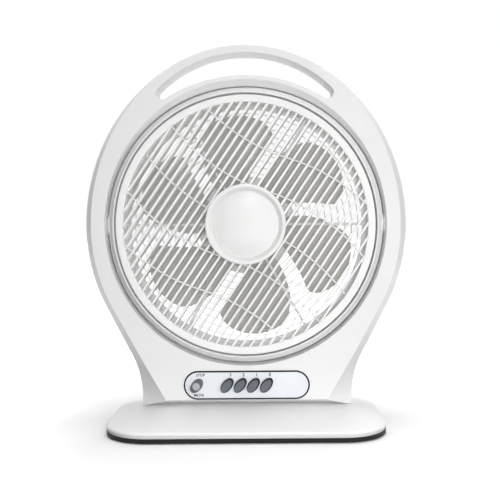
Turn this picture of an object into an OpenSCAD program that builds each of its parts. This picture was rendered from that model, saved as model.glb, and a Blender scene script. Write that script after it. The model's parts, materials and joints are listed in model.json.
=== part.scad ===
// Ring-frame fan: a head that tilts in a ring with a carry handle, a turning louvre in front,
// a six-blade impeller behind it, and a base with push buttons and a louvre knob.
// Millimetres. X points right, Y to the back, Z up. The origin is on the floor under the middle.

/* [Louvre] */
// Outer diameter of the turning louvre
louvre_d = 350; // [330:1:360]
// Slope of the slats, measured from level
slat_angle = 56; // [0:1:90]
// Distance between neighbouring slats
slat_pitch = 10.1; // [9:0.1:12]
// Slat thickness
slat_t = 1.8; // [1.4:0.1:2.4]
// Lean of each slat away from straight ahead
slat_lean = 5; // [0:1:8]
// Number of S-shaped ribs across the slats
rib_count = 5; // [3:2:5]

/* [Fan] */
// Number of blades
blade_count = 6; // [3:1:7]
// Diameter over the blade tips
blade_d = 310; // [280:1:314]

/* [Frame] */
// Height of the fan centre above the floor
centre_z = 270; // [264:1:300]
// Depth of the ring frame from face to face
frame_depth = 52; // [50:1:56]
// Wall thickness of the moulded shells
wall = 2.6; // [2:0.1:3]
// Height of the bar of the carry handle at its middle
handle_h = 11.5; // [10:0.5:14]

/* [Base] */
// Width of the base
base_w = 362; // [350:1:420]
// Depth of the base
base_d = 200; // [196:1:240]
// Height of the crown of the base above its rim
base_rise = 11.5; // [6:0.5:14]

/* [Controls] */
// Width of the control plate
panel_w = 170; // [166:1:178]
// Distance between neighbouring push buttons
button_pitch = 17.7; // [17:0.1:18.4]
// How far a push button goes in
button_travel = 4; // [2:0.5:4.5]

/* [Fits] */
// Radial clearance of a turning shaft
run_gap = 0.05; // [0.02:0.01:0.1]
// Clearance between pieces that stay apart
part_gap = 0.4; // [0.3:0.05:0.5]

/* [Hidden] */
$fn = 96;
eps = 0.01;
cut = 1;
touch = 0.1;

// Head: depths run from the pivot plane, negative to the front
pivot_y = 20;
face_y = pivot_y - frame_depth / 2;
back_y = pivot_y + frame_depth / 2;
louvre_r = louvre_d / 2;
louvre_gap = 2.2;
lip_tube = 4;
lip_at = -28;
bore_front_r = louvre_r + louvre_gap;
lip_r = bore_front_r + lip_tube;
shroud_r = sqrt(pow(lip_r + lip_tube + touch, 2) + lip_at * lip_at);
shroud_wall = 3.3;
shoulder_at = -9;
shoulder_t = 3;
duct_r = louvre_r - 9;
shroud_back = 42;
throat_gap = 1.6;
throat_r = shroud_r + throat_gap;

// Frame outline: half widths and heights about the fan centre
edge_w = 7;
face_a = throat_r + 21;
face_up = throat_r + 54;
face_low = throat_r + 33;
face_slope = 0.57;
side_a = throat_r + 32;
side_up = face_up + 4;
side_low = throat_r + 45;
side_slope = 0.54;
side_foot = throat_r - 45;
column_z = 33;
foot_v = column_z - centre_z;
edge_round = 1.5;
face_tan = atan(face_slope * face_low / face_a);
face_foot = face_a * cos(face_tan) - face_slope * (-face_low * sin(face_tan) - foot_v);
n_up = 24;
n_low = 9;
n_flank = 12;
n_foot = 8;
flank_bow = 0.6;
side_bow = 0.5;
n_side = 4;

// Carry-handle slot
slot_low_r = throat_r + 13.5;
slot_top = face_up - handle_h;
slot_up_r = slot_low_r * 0.817;
slot_c = slot_top - slot_up_r;
slot_end = 58;
slot_draft = 1;
slot_rise = 5.5;
n_slot = 16;
n_cap = 6;

// Base
foot_h = 1;
tray_h = 5.4;
tray_top = foot_h + tray_h;
tray_floor = 3.4;
tray_inset = 0.4;
rim_h = 3.1;
rim_round = 5;
rim_z = tray_top + rim_h + rim_round;
base_hw = base_w / 2;
base_hd = base_d / 2;
corner_ratio = 0.58;
corner_n = 9;
dome_n = 8;
dome_end = 0.96;
bevel_slope = 1.2;
seat_gap = 0.3;
neck_hw = 92;
neck_front = face_y + 10;
neck_back = back_y - 10;
post_in = 32;
foot_in_x = 62;
foot_in_y = 22;
foot_r = 9;
neck_in_x = 12;
neck_in_y = 7;
neck_low = foot_h + tray_floor + touch;
column_floor = column_z - 2.5;

// Controls
panel_h = 38.6;
panel_z = column_z + 0.8 + panel_h / 2;
panel_proud = 0.8;
panel_sunk = 3;
plate_sunk = 0.2;
plate_t = 1;
border_w = 2.3;
pad_t = 5.5;
pad_hw = panel_w / 2 + 8;
inner_back = back_y - pad_t - touch;
knob_x = -panel_w / 2 + 17.5;
button_a = 11;
button_b = 6.5;
button_turn = 50;
button_front = 7.5;
button_back = 6.5;
button_n = 48;
stem_w = 8;
stem_t = 4;
stem_end = 18;
switch_at = 12;
switch_hw = 39;
switch_hh = 12;
switch_d = 22;
ear_x = 44;
ear_t = 2;
knob_r = 9.5;
skirt_r = 11.5;
spindle_r = 3;
nose_r = 5;

// Pieces inside the column, and the gland
ear_hw = 5;
ear_hh = 6;
ls_hw = 12;
ls_d = 16;
nose_front = 0.6;
spindle_end = 11;
knob_gap = 0.5;
skirt_t = 2.5;
knob_h = 7;
mark_hw = 0.8;
mark_len = 5;
inner_in = 3;
inner_len = 36;
capacitor_d = 16;
capacitor_low = 8;
capacitor_high = 36;
terminal_d = 14;
terminal_low = 12;
terminal_high = 28;
terminal_pitch = 9;
terminal_r = 2.4;
terminal_deep = 9;
gland_r = 6.5;
gland_flange_r = 9;
gland_bore_r = 4;
gland_t = 3;

// Pivots, along X
boss_r = 17;
boss_x = shroud_r + 0.6;
boss_len = 9;
bolt_grip = 8;
pin_r = 3;
seat_x = throat_r + 0.9;
washer_gap = 0.3;
washer_t = seat_x - boss_x - 2 * washer_gap;
seat_t = 8;
bush_r = 5.4;
bush_flange_r = 8;
bush_flange_t = 2;
spring_t = 1.5;
bolt_head_r = 6;
bolt_head_t = 4;
spring_x = seat_x + seat_t + touch + bush_flange_t + 2 * touch;

// Louvre
louvre_front = -31;
slat_depth = 19;
ring_w = 10.3;
ring_in = louvre_r - ring_w;
ring_wall = 2;
ring_face_t = 3;
hub_r = 49;
hub_wall = 2;
hub_face_t = 2.5;
rib_t = 1.3;
rib_depth = 6;
rib_pitch = louvre_r * 0.303;
rib_wave = louvre_r * 0.857;
rib_amp = 10.8;
rib_arc = (pow(rib_wave / 2, 2) + rib_amp * rib_amp) / (2 * rib_amp);
cap_r = 52.5;
cap_rim_w = 5.2;
cap_rim_h = 9;
cap_dish_r = 43.5;
cap_dish_h = 5;
cap_dome_h = 10;
cap_wall = 2;
cap_dome_r = (cap_dish_r * cap_dish_r + cap_dome_h * cap_dome_h) / (2 * cap_dome_h);

// Bridge and louvre motor
spoke_count = 6;
spoke_t = 3.4;
bridge_back = -1;
cup_wall = 2;
lm_r = 24.5;
lm_front = -26;
lm_back = -3.5;
ls_r = 3.5;

// Impeller
hub_front = 6;
hub_back = 36;
fan_hub_r = 40;
fan_hub_wall = 3;
fan_boss_r = 9;
blade_r = blade_d / 2;
blade_root_r = fan_hub_r - 2;
blade_t = 2.2;
blade_front = 9;
blade_back = 35;
blade_sweep = 15.5;
blade_turn = -57;
blade_half = 23.5;
blade_root_half = 15;
blade_camber = 4;
n_rad = 12;
n_chord = 8;

// Motor
shaft_r = 4;
shaft_front = 1.5;
shaft_back = 73;
nut_r = 13;
nut_front = 0.5;
rotor_r = 22;
air_gap = 0.5;
core_front = 54;
core_back = 68;
stator_r = 44;
bell_wall = 2;
plate_front = shroud_back;
plate_back = plate_front + 3;
bell_flange_t = 3;
bell_flange_r = 54;
nose_len = 8;
bell_nose_r = 20;
bush_len = 8;
bush_out_r = 7;
rear_bell_back = 76;
cover_r = 60;
cover_back = 80;
cover_wall = 2.2;
cover_lug = 4.2;
cover_lug_h = 6;
cover_edge = 8;
cover_turn = 75;
vent_count = 10;
vent_in = 18;
vent_len = 26;
vent_w = 3;
coil_in = 25;
coil_out = 40;
coil_len = 5;

// Rear grille
grille_rings = 10;
grille_t = 1.2;
ring_t = 3;
grille_depth = 4;
grille_arms = 6;
arm_t = 3;
arm_depth = 5.5;
grille_hub_r = 70;
grille_hole_r = 32;
grille_out = sqrt(shroud_r * shroud_r - pow(shroud_back + 4, 2)) - 1;

// Screws
screw_r = 1.75;
screw_head_r = 3.4;
screw_head_h = 2.2;
post_r = 4;
pilot_r = 1.8;
pilot_len = 20;
base_seat = foot_h + screw_head_h + 0.3;
neck_seat = foot_h + screw_head_h - 0.2;
frame_seat = 8;
base_screw = 8;
neck_screw = 7;
frame_screw = 20;
switch_screw = 7;
grille_screw = 7;
bridge_screw = 7;
bell_screw = 5.8;
cover_screw = 8.5;
hub_screw = 5;
hub_screw_head_r = 6;

// Points on the outline of the frame

function ell(a, b, t) = [a * cos(t), b * sin(t)];

// One point of the flank: down from the oval at the slope, slightly bowed, then an arc that ends upright
function flank_pt(top, al, len, rad, s) =
    let (all = len + rad * al * PI / 180, d = s * all, out = flank_bow * sin(180 * s),
         be = d <= len || rad <= eps ? al : al - (d - len) / rad * 180 / PI,
         run = min(d, len))
    [top[0] - run * sin(al) - rad * (cos(be) - cos(al)) + out * cos(be),
     top[1] - run * cos(al) - rad * (sin(al) - sin(be)) - out * sin(be)];

// Right half of the outline from the top down to the column's foot
function half_sides(a, up, low, slope, foot) =
    let (al = atan(slope), th = atan(slope * low / a), top = ell(a, low, -th),
         drop = top[1] - foot_v, side = top[0] - foot,
         den = 1 - cos(al),
         rad = max(0, (drop * sin(al) - side * cos(al)) / den),
         len = rad <= eps ? drop / cos(al) : (side * sin(al) - drop * den) / den)
    concat(
        [for (i = [0:n_up]) ell(a, up, 90 - 90 * i / n_up)],
        [for (i = [1:n_low]) ell(a, low, -th * i / n_low)],
        [for (i = [1:n_flank]) flank_pt(top, al, len, rad, i / n_flank)]);

// Underside of the column at a depth y, which follows the base from the side to the middle
function foot_line(foot, y) = [for (i = [0:n_foot]) let (k = 1 - i / n_foot, x = foot * k)
    [x, dome_z(min(base_hw - x, base_hd - abs(y))) + seat_gap * (2 - k * k) - centre_z]];

// Whole outline at a depth y, counterclockwise as seen from the front
function outline(sides, foot, y) =
    let (h = concat(sides, foot_line(foot, y)), n = len(h))
    upright(concat([for (i = [n - 1:-1:0]) h[i]], [for (i = [1:n - 2]) [-h[i][0], h[i][1]]]), y);

function face_sides(inset) = half_sides(face_a - inset, face_up - inset, face_low - inset, face_slope,
    face_foot - inset);

side_sides = half_sides(side_a, side_up, side_low, side_slope, side_foot);

function face_ring(inset, y) = outline(face_sides(inset), face_foot - inset, y);

// Ring between the face edge (0) and the parting plane (1), slightly crowned
function side_ring(t, y) =
    let (f = face_sides(0), k = 1 + side_bow * sin(180 * t) / side_a)
    outline([for (i = [0:len(f) - 1]) [k * lerp(f[i][0], side_sides[i][0], t),
            lerp(f[i][1], side_sides[i][1], t) + (i <= n_up ? side_bow * sin(180 * t) * (1 - i / n_up) : 0)]],
        k * lerp(face_foot, side_foot, t), y);

// Slot of the handle: a crescent with round ends, its lower and upper sides moved out by margins
function slot_far(ang, up) =
    slot_c * sin(ang) + sqrt(pow(slot_up_r + up, 2) - pow(slot_c * cos(ang), 2));

function slot_cap(ang, side, low, up) =
    let (lo = slot_low_r - low, hi = slot_far(ang, up), mid = (lo + hi) / 2, g = (hi - lo) / 2)
    [for (i = [1:n_cap - 1]) let (s = -90 + 180 * i / n_cap, r = mid + g * sin(s))
        [r * cos(ang) + side * g * cos(s) * sin(ang), r * sin(ang) - side * g * cos(s) * cos(ang)]];

function slot_outline(low, up) =
    let (right = slot_cap(slot_end, 1, low, up), left = slot_cap(180 - slot_end, -1, low, up),
         span = 180 - 2 * slot_end, lo = slot_low_r - low)
    concat(
        [for (i = [n_slot:-1:0]) let (t = slot_end + span * i / n_slot) [lo * cos(t), lo * sin(t)]],
        right,
        [for (i = [0:n_slot]) let (t = slot_end + span * i / n_slot, r = slot_far(t, up))
            [r * cos(t), r * sin(t)]],
        [for (i = [len(left) - 1:-1:0]) left[i]]);

// Solid between rings of points, each ring counterclockwise as seen from the first one's side.
// A flat ring is closed by one face, an outline that bends inwards by a fan about a point inside it,
// and a curved ring by strips between its two rows of points
module skin(rings, strips = false, hub = []) {
    n = len(rings[0]);
    m = len(rings);
    last = (m - 1) * n;
    polyhedron(
        points = concat([for (r = rings) for (p = r) p], hub),
        faces = concat(
            len(hub) > 0
                ? [for (j = [0:n - 1]) each [[(j + 1) % n, j, m * n],
                    [last + j, last + (j + 1) % n, m * n + 1]]]
            : strips
                ? [for (j = [0:n / 2 - 2]) each [[n - 1 - j, n - 2 - j, j + 1], [n - 1 - j, j + 1, j],
                    [last + j, last + j + 1, last + n - 2 - j],
                    [last + j, last + n - 2 - j, last + n - 1 - j]]]
                : [[for (j = [n - 1:-1:0]) j], [for (j = [0:n - 1]) last + j]],
            [for (i = [0:m - 2]) for (j = [0:n - 1])
                [i * n + j, i * n + (j + 1) % n, (i + 1) * n + (j + 1) % n]],
            [for (i = [0:m - 2]) for (j = [0:n - 1])
                [i * n + j, (i + 1) * n + (j + 1) % n, (i + 1) * n + j]]));
}

function upright(pts, y) = [for (p = pts) [p[0], y, p[1] + centre_z]];

function flat(pts, z) = [for (p = pts) [p[0], p[1], z]];

// Places a child at the fan centre with its Z axis along the fan axis, to the back
module at_head() {
    translate([0, pivot_y, centre_z])
        rotate([-90, 0, 0])
            children();
}

// Cylinder between two depths of the fan axis
module disc(r, z0, z1) {
    translate([0, 0, z0])
        cylinder(r = r, h = z1 - z0);
}

module tube(r_out, r_in, z0, z1) {
    difference() {
        disc(r_out, z0, z1);
        disc(r_in, z0 - cut, z1 + cut);
    }
}

// Copies of a child around the fan axis
module around(count, start = 0) {
    for (i = [0:count - 1])
        rotate([0, 0, start + 360 * i / count])
            children();
}

// Cylinder along X or Y between two places
module bar_x(r, x0, x1) {
    translate([x0, 0, 0])
        rotate([0, 90, 0])
            cylinder(r = r, h = x1 - x0);
}

module bar_y(r, y0, y1) {
    translate([0, y0, 0])
        rotate([-90, 0, 0])
            cylinder(r = r, h = y1 - y0);
}

// Block between two corners
module block(a, b) {
    translate(a)
        cube(b - a);
}

// Both sides of the tilt axis
module both_pivots() {
    for (side = [0, 1])
        translate([0, pivot_y, centre_z])
            mirror([side, 0, 0])
                children();
}

// Hole for a screw, to both sides of where it starts
module pilot() {
    cylinder(r = pilot_r, h = pilot_len, center = true);
}

// Pan-head screw along Z: the head's underside is at 0, the shank goes to plus Z
module screw(len) {
    disc(screw_r, 0, len);
    disc(screw_head_r, -screw_head_h, 0);
}

// Base

function base_ring(d) =
    let (hw = base_hw - d, hd = base_hd - d, r = corner_ratio * hd)
    [for (q = [0:3]) for (j = [0:corner_n])
        let (a = 90 * (q + j / corner_n), sx = q == 0 || q == 3 ? 1 : -1, sy = q < 2 ? 1 : -1)
        [sx * (hw - r) + r * cos(a), sy * (hd - r) + r * sin(a)]];

function dome_z(d) = rim_z + base_rise * (1 - pow(1 - (d - rim_round) / (base_hd - rim_round), 2));

function dome_d(i) = lerp(rim_round, base_hd * dome_end, i / dome_n);

function lerp(a, b, t) = a + (b - a) * t;

// The crowned block of the base, from its top down to a level, moved in by a wall
module base_block(inset, low) {
    n_edge = 4;
    skin(concat(
        [for (i = [dome_n:-1:1]) flat(base_ring(max(dome_d(i), inset)), dome_z(dome_d(i)) - inset)],
        [for (i = [0:n_edge]) let (t = 90 - 90 * i / n_edge)
            flat(base_ring(inset + (rim_round - inset) * (1 - cos(t))),
                rim_z - rim_round + (rim_round - inset) * sin(t))],
        [flat(base_ring(inset), low)]));
}

module base_spots(in_x, in_y) {
    for (sx = [-1, 1], sy = [-1, 1])
        translate([sx * (base_hw - in_x), sy * (base_hd - in_y), 0])
            children();
}

module base_posts(r, z0, z1) {
    base_spots(post_in, post_in)
        disc(r, z0, z1);
}

module neck_block(inset, low, high) {
    block([-neck_hw + inset, neck_front + inset, low], [neck_hw - inset, neck_back - inset, high]);
}

module neck_spots() {
    for (sx = [-1, 1], y = [neck_front + neck_in_y, neck_back - neck_in_y])
        translate([sx * (neck_hw - neck_in_x), y, 0])
            children();
}

module base_cover() {
    color("white")
    difference() {
        union() {
            difference() {
                base_block(0, tray_top + touch);
                base_block(wall, tray_top - cut);
            }
            intersection() {
                base_posts(post_r, tray_top + touch, rim_z + base_rise);
                base_block(wall / 2, tray_top);
            }
        }
        base_posts(pilot_r, tray_top - cut, rim_z - 1);
        neck_block(-part_gap, 0, centre_z / 2);
    }
}

module base_tray() {
    color("#1c1c1e")
    difference() {
        translate([0, 0, foot_h])
            linear_extrude(tray_h)
                polygon(base_ring(tray_inset));
        difference() {
            translate([0, 0, foot_h + tray_floor])
                linear_extrude(tray_h)
                    polygon(base_ring(wall + 1));
            base_posts(post_r + 2, 0, tray_top);
        }
        base_posts(pilot_r, 0, tray_top + cut);
        base_posts(screw_head_r + part_gap, 0, base_seat);
        neck_spots() {
            disc(pilot_r, 0, tray_top + cut);
            disc(screw_head_r + part_gap, 0, neck_seat);
        }
    }
}

module rubber_feet() {
    color("#151515")
    base_spots(foot_in_x, foot_in_y)
        disc(foot_r, 0, foot_h - touch / 2);
}

module base_screws() {
    color("silver")
    translate([0, 0, base_seat])
        base_spots(post_in, post_in)
            screw(base_screw);
}

module neck_screws() {
    color("silver")
    translate([0, 0, neck_seat])
        neck_spots()
            screw(neck_screw);
}

// Frame

// Solid of revolution for the bore: throat and the slanted edges at both faces, grown by a margin
module bore_form(grow) {
    at_head()
        rotate_extrude()
            polygon([
                [0, -frame_depth / 2 - cut],
                [throat_r + edge_w + grow + cut, -frame_depth / 2 - cut],
                [throat_r + grow, -frame_depth / 2 + edge_w],
                [throat_r + grow, frame_depth / 2 - edge_w],
                [throat_r + edge_w + grow + cut, frame_depth / 2 + cut],
                [0, frame_depth / 2 + cut]]);
}

// One half of the slot, wider at the face than at the parting plane, and rising to the back
module slot_form(up) {
    skin([upright(slot_outline(slot_draft, up), face_y - cut),
        upright(slot_outline(-slot_draft, -slot_draft), pivot_y + cut)]);
}

// A child meant for the front shell, or its mirror image for the rear one
module on_shell(front) {
    if (front)
        children();
    else
        translate([0, 2 * pivot_y, 0])
            mirror([0, 1, 0])
                children();
}

module frame_outer(front) {
    edge_y = front ? face_y + edge_round : back_y - edge_round;
    rings = [for (i = [0:n_side]) side_ring(i / n_side, lerp(edge_y, pivot_y, i / n_side))];
    if (front)
        skin(concat([face_ring(edge_round, face_y)], rings),
            hub = [[0, face_y, centre_z], [0, pivot_y, centre_z]]);
    else
        skin(concat([for (i = [n_side:-1:0]) rings[i]], [face_ring(edge_round, back_y)]),
            hub = [[0, pivot_y, centre_z], [0, back_y, centre_z]]);
}

// Inside of the front shell: a channel around the ring and a chamber in the column
module frame_hollow() {
    half = frame_depth / 2;
    side = face_foot - 6;
    high = centre_z - face_low / 2 - column_floor;
    difference() {
        union() {
            at_head()
                rotate_extrude()
                    polygon([[throat_r + edge_w, wall - half], [face_a - wall - 0.8, wall - half],
                        [side_a - wall - 1, cut], [throat_r + wall, cut], [throat_r + wall, edge_w - half]]);
            translate([0, pivot_y + cut, column_floor])
                rotate([90, 0, 0])
                    linear_extrude(half - wall + cut)
                        polygon([[-side, 0], [side, 0],
                            [side + face_slope * high, high], [-side - face_slope * high, high]]);
        }
        bore_form(wall);
        block([-side_a, -side_a, centre_z + slot_low_r * 0.74], [side_a, side_a, 2 * centre_z]);
        block([-pad_hw, face_y, 0], [pad_hw, face_y + pad_t, panel_z + panel_h / 2 + 2]);
        both_pivots()
            block([throat_r, -boss_r - 2, -boss_r - 2], [seat_x + seat_t, 2 * cut, boss_r + 2]);
    }
}

// Bevel under the front face of the column
module foot_bevel() {
    low = column_z / bevel_slope;
    translate([-side_a, 0, 0])
        rotate([90, 0, 90])
            linear_extrude(2 * side_a)
                polygon([[face_y - cut, column_z + bevel_slope * cut], [face_y - cut, -cut],
                    [face_y + low, -cut], [face_y + low, 0]]);
}

// Where the two shells are screwed together
module frame_spots() {
    ring_spot = throat_r + 12.5;
    high_spot = throat_r + 21;
    for (a = [25, 155, 205, 335])
        translate([ring_spot * cos(a), 0, centre_z + ring_spot * sin(a)])
            children();
    for (a = [47, 133])
        translate([high_spot * cos(a), 0, centre_z + high_spot * sin(a)])
            children();
    for (side = [-1, 1])
        translate([side * (pad_hw + 7), 0, column_z + 12])
            children();
}

module pivot_holes() {
    both_pivots() {
        bar_x(bush_r + touch, throat_r - cut, seat_x + seat_t + cut);
        bar_x(boss_r + 1, throat_r - 2 * cut, seat_x);
    }
}

// One half of the frame, without its screw posts
module frame_shell(front) {
    difference() {
        union() {
            difference() {
                frame_outer(front);
                on_shell(front)
                    foot_bevel();
            }
            on_shell(front)
                block([-neck_hw, neck_front, neck_low], [neck_hw, pivot_y, column_z + 4]);
        }
        on_shell(front)
            frame_hollow();
        neck_block(wall, neck_low + wall, column_z + 5);
        bore_form(0);
        on_shell(front)
            slot_form(front ? slot_draft : slot_rise);
        pivot_holes();
        neck_spots()
            cylinder(r = pilot_r, h = column_z);
    }
}

module stadium(w, h) {
    square([w - h, h], center = true);
    for (side = [-1, 1])
        translate([side * (w - h) / 2, 0])
            circle(d = h);
}

// Plate shape on the front of the column, between two depths
module panel_slab(w, h, y0, y1) {
    translate([0, y1, panel_z])
        rotate([90, 0, 0])
            linear_extrude(y1 - y0)
                stadium(w, h);
}

function button_x(i) = (i - 1.5) * button_pitch;

module oval(grow) {
    rotate(button_turn)
        polygon([for (i = [0:button_n - 1]) let (t = 360 * i / button_n)
            [(button_a + grow) * cos(t), (button_b + grow) * sin(t)]]);
}

module oval_slab(i, grow, y0, y1) {
    translate([button_x(i), y1, panel_z])
        rotate([90, 0, 0])
            linear_extrude(y1 - y0)
                oval(grow);
}

module control_holes() {
    for (i = [0:3])
        oval_slab(i, part_gap, face_y - 2 * cut, face_y + pad_t + cut);
    translate([knob_x, 0, panel_z])
        bar_y(nose_r + touch, face_y - 2 * cut, face_y + pad_t + cut);
}

module ear_spots() {
    for (side = [-1, 1])
        translate([side * ear_x, 0, panel_z])
            children();
}

module front_frame() {
    color("white")
    difference() {
        union() {
            frame_shell(true);
            frame_spots()
                bar_y(post_r, face_y + 2, pivot_y - touch);
            ear_spots()
                bar_y(post_r, face_y + pad_t - 1, face_y + switch_at - touch);
        }
        frame_spots()
            bar_y(pilot_r, face_y + 6, pivot_y + cut);
        panel_slab(panel_w + part_gap, panel_h + part_gap, face_y - cut, face_y + panel_sunk);
        control_holes();
        ear_spots()
            bar_y(pilot_r, face_y + pad_t, face_y + switch_at + cut);
    }
}

module rear_frame() {
    color("white")
    difference() {
        union() {
            frame_shell(false);
            frame_spots()
                bar_y(post_r + 1, pivot_y + touch, back_y - 2);
        }
        frame_spots() {
            bar_y(pilot_r, pivot_y - cut, back_y + cut);
            bar_y(screw_head_r + part_gap, pivot_y + frame_seat, back_y + cut);
        }
        translate([0, 0, panel_z])
            bar_y(gland_r + touch, back_y - pad_t - cut, back_y + cut);
    }
}

module frame_screws() {
    color("silver")
    frame_spots()
        translate([0, pivot_y + frame_seat, 0])
            rotate([90, 0, 0])
                screw(frame_screw);
}

module cord_gland() {
    color("#202022")
    translate([0, 0, panel_z])
        difference() {
            union() {
                bar_y(gland_r, back_y - pad_t - gland_t, back_y + touch);
                bar_y(gland_flange_r, back_y + touch, back_y + gland_t);
            }
            bar_y(gland_bore_r, back_y - pad_t - gland_t - cut, back_y + gland_t + cut);
        }
}

// Controls

module panel_bezel() {
    color("#2b2d33")
    difference() {
        panel_slab(panel_w, panel_h, face_y - panel_proud, face_y + panel_sunk - touch);
        panel_slab(panel_w - 2 * border_w, panel_h - 2 * border_w,
            face_y - panel_proud - cut, face_y - panel_proud + plate_sunk + plate_t + touch);
        control_holes();
    }
}

module panel_plate() {
    front = face_y - panel_proud + plate_sunk;
    color("#dfe2ea")
    difference() {
        panel_slab(panel_w - 2 * border_w - touch, panel_h - 2 * border_w - touch, front, front + plate_t);
        control_holes();
    }
}

module button(i) {
    color("#5a6474")
    union() {
        oval_slab(i, 0, face_y - button_front + 1, face_y + button_back);
        oval_slab(i, -0.8, face_y - button_front, face_y - button_front + 1 + eps);
        block([button_x(i) - stem_w / 2, face_y + button_back - eps, panel_z - stem_t / 2],
            [button_x(i) + stem_w / 2, face_y + stem_end, panel_z + stem_t / 2]);
    }
}

module button_3() {
    button(0);
}

module button_2() {
    button(1);
}

module button_1() {
    button(2);
}

module button_0() {
    button(3);
}

module speed_switch() {
    front = face_y + switch_at;
    deep = stem_end - switch_at + button_travel + 1;
    color("#8a5a34")
    difference() {
        union() {
            block([-switch_hw, front, panel_z - switch_hh],
                [switch_hw, front + switch_d, panel_z + switch_hh]);
            block([-ear_x - ear_hw, front, panel_z - ear_hh],
                [ear_x + ear_hw, front + ear_t, panel_z + ear_hh]);
        }
        for (i = [0:3])
            block([button_x(i) - stem_w / 2 - part_gap, front - cut, panel_z - stem_t / 2 - part_gap],
                [button_x(i) + stem_w / 2 + part_gap, front + deep, panel_z + stem_t / 2 + part_gap]);
        ear_spots()
            bar_y(pilot_r, front - cut, front + ear_t + cut);
    }
}

module switch_screws() {
    color("silver")
    ear_spots()
        translate([0, face_y + switch_at + ear_t, 0])
            rotate([90, 0, 0])
                screw(switch_screw);
}

module louvre_switch() {
    front = face_y + pad_t + touch;
    color("#8a5a34")
    translate([knob_x, 0, panel_z])
        difference() {
            union() {
                block([-ls_hw, front, -ls_hw], [ls_hw, front + ls_d, ls_hw]);
                bar_y(nose_r, face_y + nose_front, front + 1);
            }
            bar_y(spindle_r + run_gap, face_y, front + spindle_end + 1);
        }
}

module louvre_knob() {
    skirt_back = face_y - panel_proud - knob_gap;
    skirt_front = skirt_back - skirt_t;
    cap_front = skirt_front - knob_h;
    color("#c9ccd2")
    translate([knob_x, 0, panel_z])
        difference() {
            union() {
                bar_y(skirt_r, skirt_front, skirt_back);
                bar_y(knob_r, cap_front, skirt_front + eps);
                bar_y(spindle_r, skirt_back - 1, face_y + pad_t + spindle_end);
            }
            block([-mark_hw, cap_front - cut, knob_r - mark_len], [mark_hw, cap_front + 1, knob_r + 1]);
        }
}

module capacitor() {
    color("#33363c")
    block([pad_hw - inner_in - inner_len, inner_back - capacitor_d, column_floor + capacitor_low],
        [pad_hw - inner_in, inner_back, column_floor + capacitor_high]);
}

module terminal_block() {
    color("#e8e4d8")
    difference() {
        block([inner_in - pad_hw, inner_back - terminal_d, column_floor + terminal_low],
            [inner_in + inner_len - pad_hw, inner_back, column_floor + terminal_high]);
        for (i = [0:3])
            translate([inner_in - pad_hw + terminal_pitch * (i + 0.5), 0,
                column_floor + (terminal_low + terminal_high) / 2])
                bar_y(terminal_r, inner_back - terminal_d - cut,
                    inner_back - terminal_d + terminal_deep - cut);
    }
}

// Pivots

module pivot_bushes() {
    color("#d8d8d4")
    both_pivots()
        difference() {
            union() {
                bar_x(bush_r, seat_x + touch, seat_x + seat_t + 2 * touch);
                bar_x(bush_flange_r, seat_x + seat_t + touch, seat_x + seat_t + touch + bush_flange_t);
            }
            bar_x(pin_r + run_gap, seat_x - cut, seat_x + seat_t + bush_flange_t + cut);
        }
}

module friction_washers() {
    color("#3a3a3a")
    both_pivots()
        difference() {
            bar_x(boss_r - 0.5, boss_x + washer_gap, boss_x + washer_gap + washer_t);
            bar_x(pin_r + part_gap, boss_x, seat_x);
        }
}

module spring_washers() {
    color("silver")
    both_pivots()
        difference() {
            bar_x(bolt_head_r, spring_x, spring_x + spring_t);
            bar_x(pin_r + part_gap, spring_x - cut, spring_x + spring_t + cut);
        }
}

module pivot_bolts() {
    head_x = spring_x + spring_t + touch;
    color("silver")
    both_pivots()
        difference() {
            union() {
                bar_x(pin_r, boss_x - bolt_grip, head_x + eps);
                bar_x(bolt_head_r, head_x, head_x + bolt_head_t);
            }
            translate([head_x + bolt_head_t - 2, 0, 0])
                rotate([0, 90, 0])
                    cylinder(d = 5, h = 3, $fn = 6);
        }
}

// Head

module fan_shroud() {
    color("white")
    difference() {
        union() {
            at_head() {
                difference() {
                    intersection() {
                        sphere(r = shroud_r);
                        disc(shroud_r + cut, lip_at, shroud_back);
                    }
                    disc(bore_front_r, lip_at - cut, shoulder_at);
                    intersection() {
                        sphere(r = shroud_r - shroud_wall);
                        disc(shroud_r, shoulder_at + shoulder_t, shroud_back - 3);
                    }
                    disc(duct_r, shoulder_at - cut, shroud_back + cut);
                }
                translate([0, 0, lip_at])
                    rotate_extrude()
                        translate([lip_r, 0])
                            circle(r = lip_tube);
            }
            both_pivots()
                bar_x(boss_r, boss_x - boss_len, boss_x);
        }
        both_pivots()
            bar_x(pin_r + touch, boss_x - boss_len - cut, boss_x + cut);
        grille_spots()
            pilot();
        bridge_spots()
            pilot();
    }
}

module grille_spots() {
    at_head()
        around(6, 30)
            translate([grille_out - 5, 0, shroud_back])
                children();
}

module bridge_spots() {
    at_head()
        around(spoke_count)
            translate([duct_r + 6, 0, shoulder_at + shoulder_t])
                children();
}

module rear_grille() {
    first = grille_hub_r + 6;
    step = (duct_r + 4 - first) / grille_rings;
    color("white")
    difference() {
        at_head() {
            tube(grille_out, duct_r, shroud_back + touch, shroud_back + ring_t);
            for (i = [0:grille_rings - 1])
                tube(first + step * i + grille_t / 2, first + step * i - grille_t / 2,
                    plate_front + 1, plate_front + 1 + grille_depth);
            tube(grille_hub_r, grille_hole_r, plate_front, plate_back);
            around(grille_arms)
                translate([grille_hub_r - 2, -arm_t / 2, plate_front + 0.5])
                    cube([duct_r + 3 - grille_hub_r, arm_t, arm_depth]);
        }
        grille_spots()
            pilot();
        motor_spots()
            pilot();
        cover_spots()
            pilot();
    }
}

module grille_screws() {
    color("silver")
    grille_spots()
        translate([0, 0, ring_t])
            rotate([180, 0, 0])
                screw(grille_screw);
}

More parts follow.
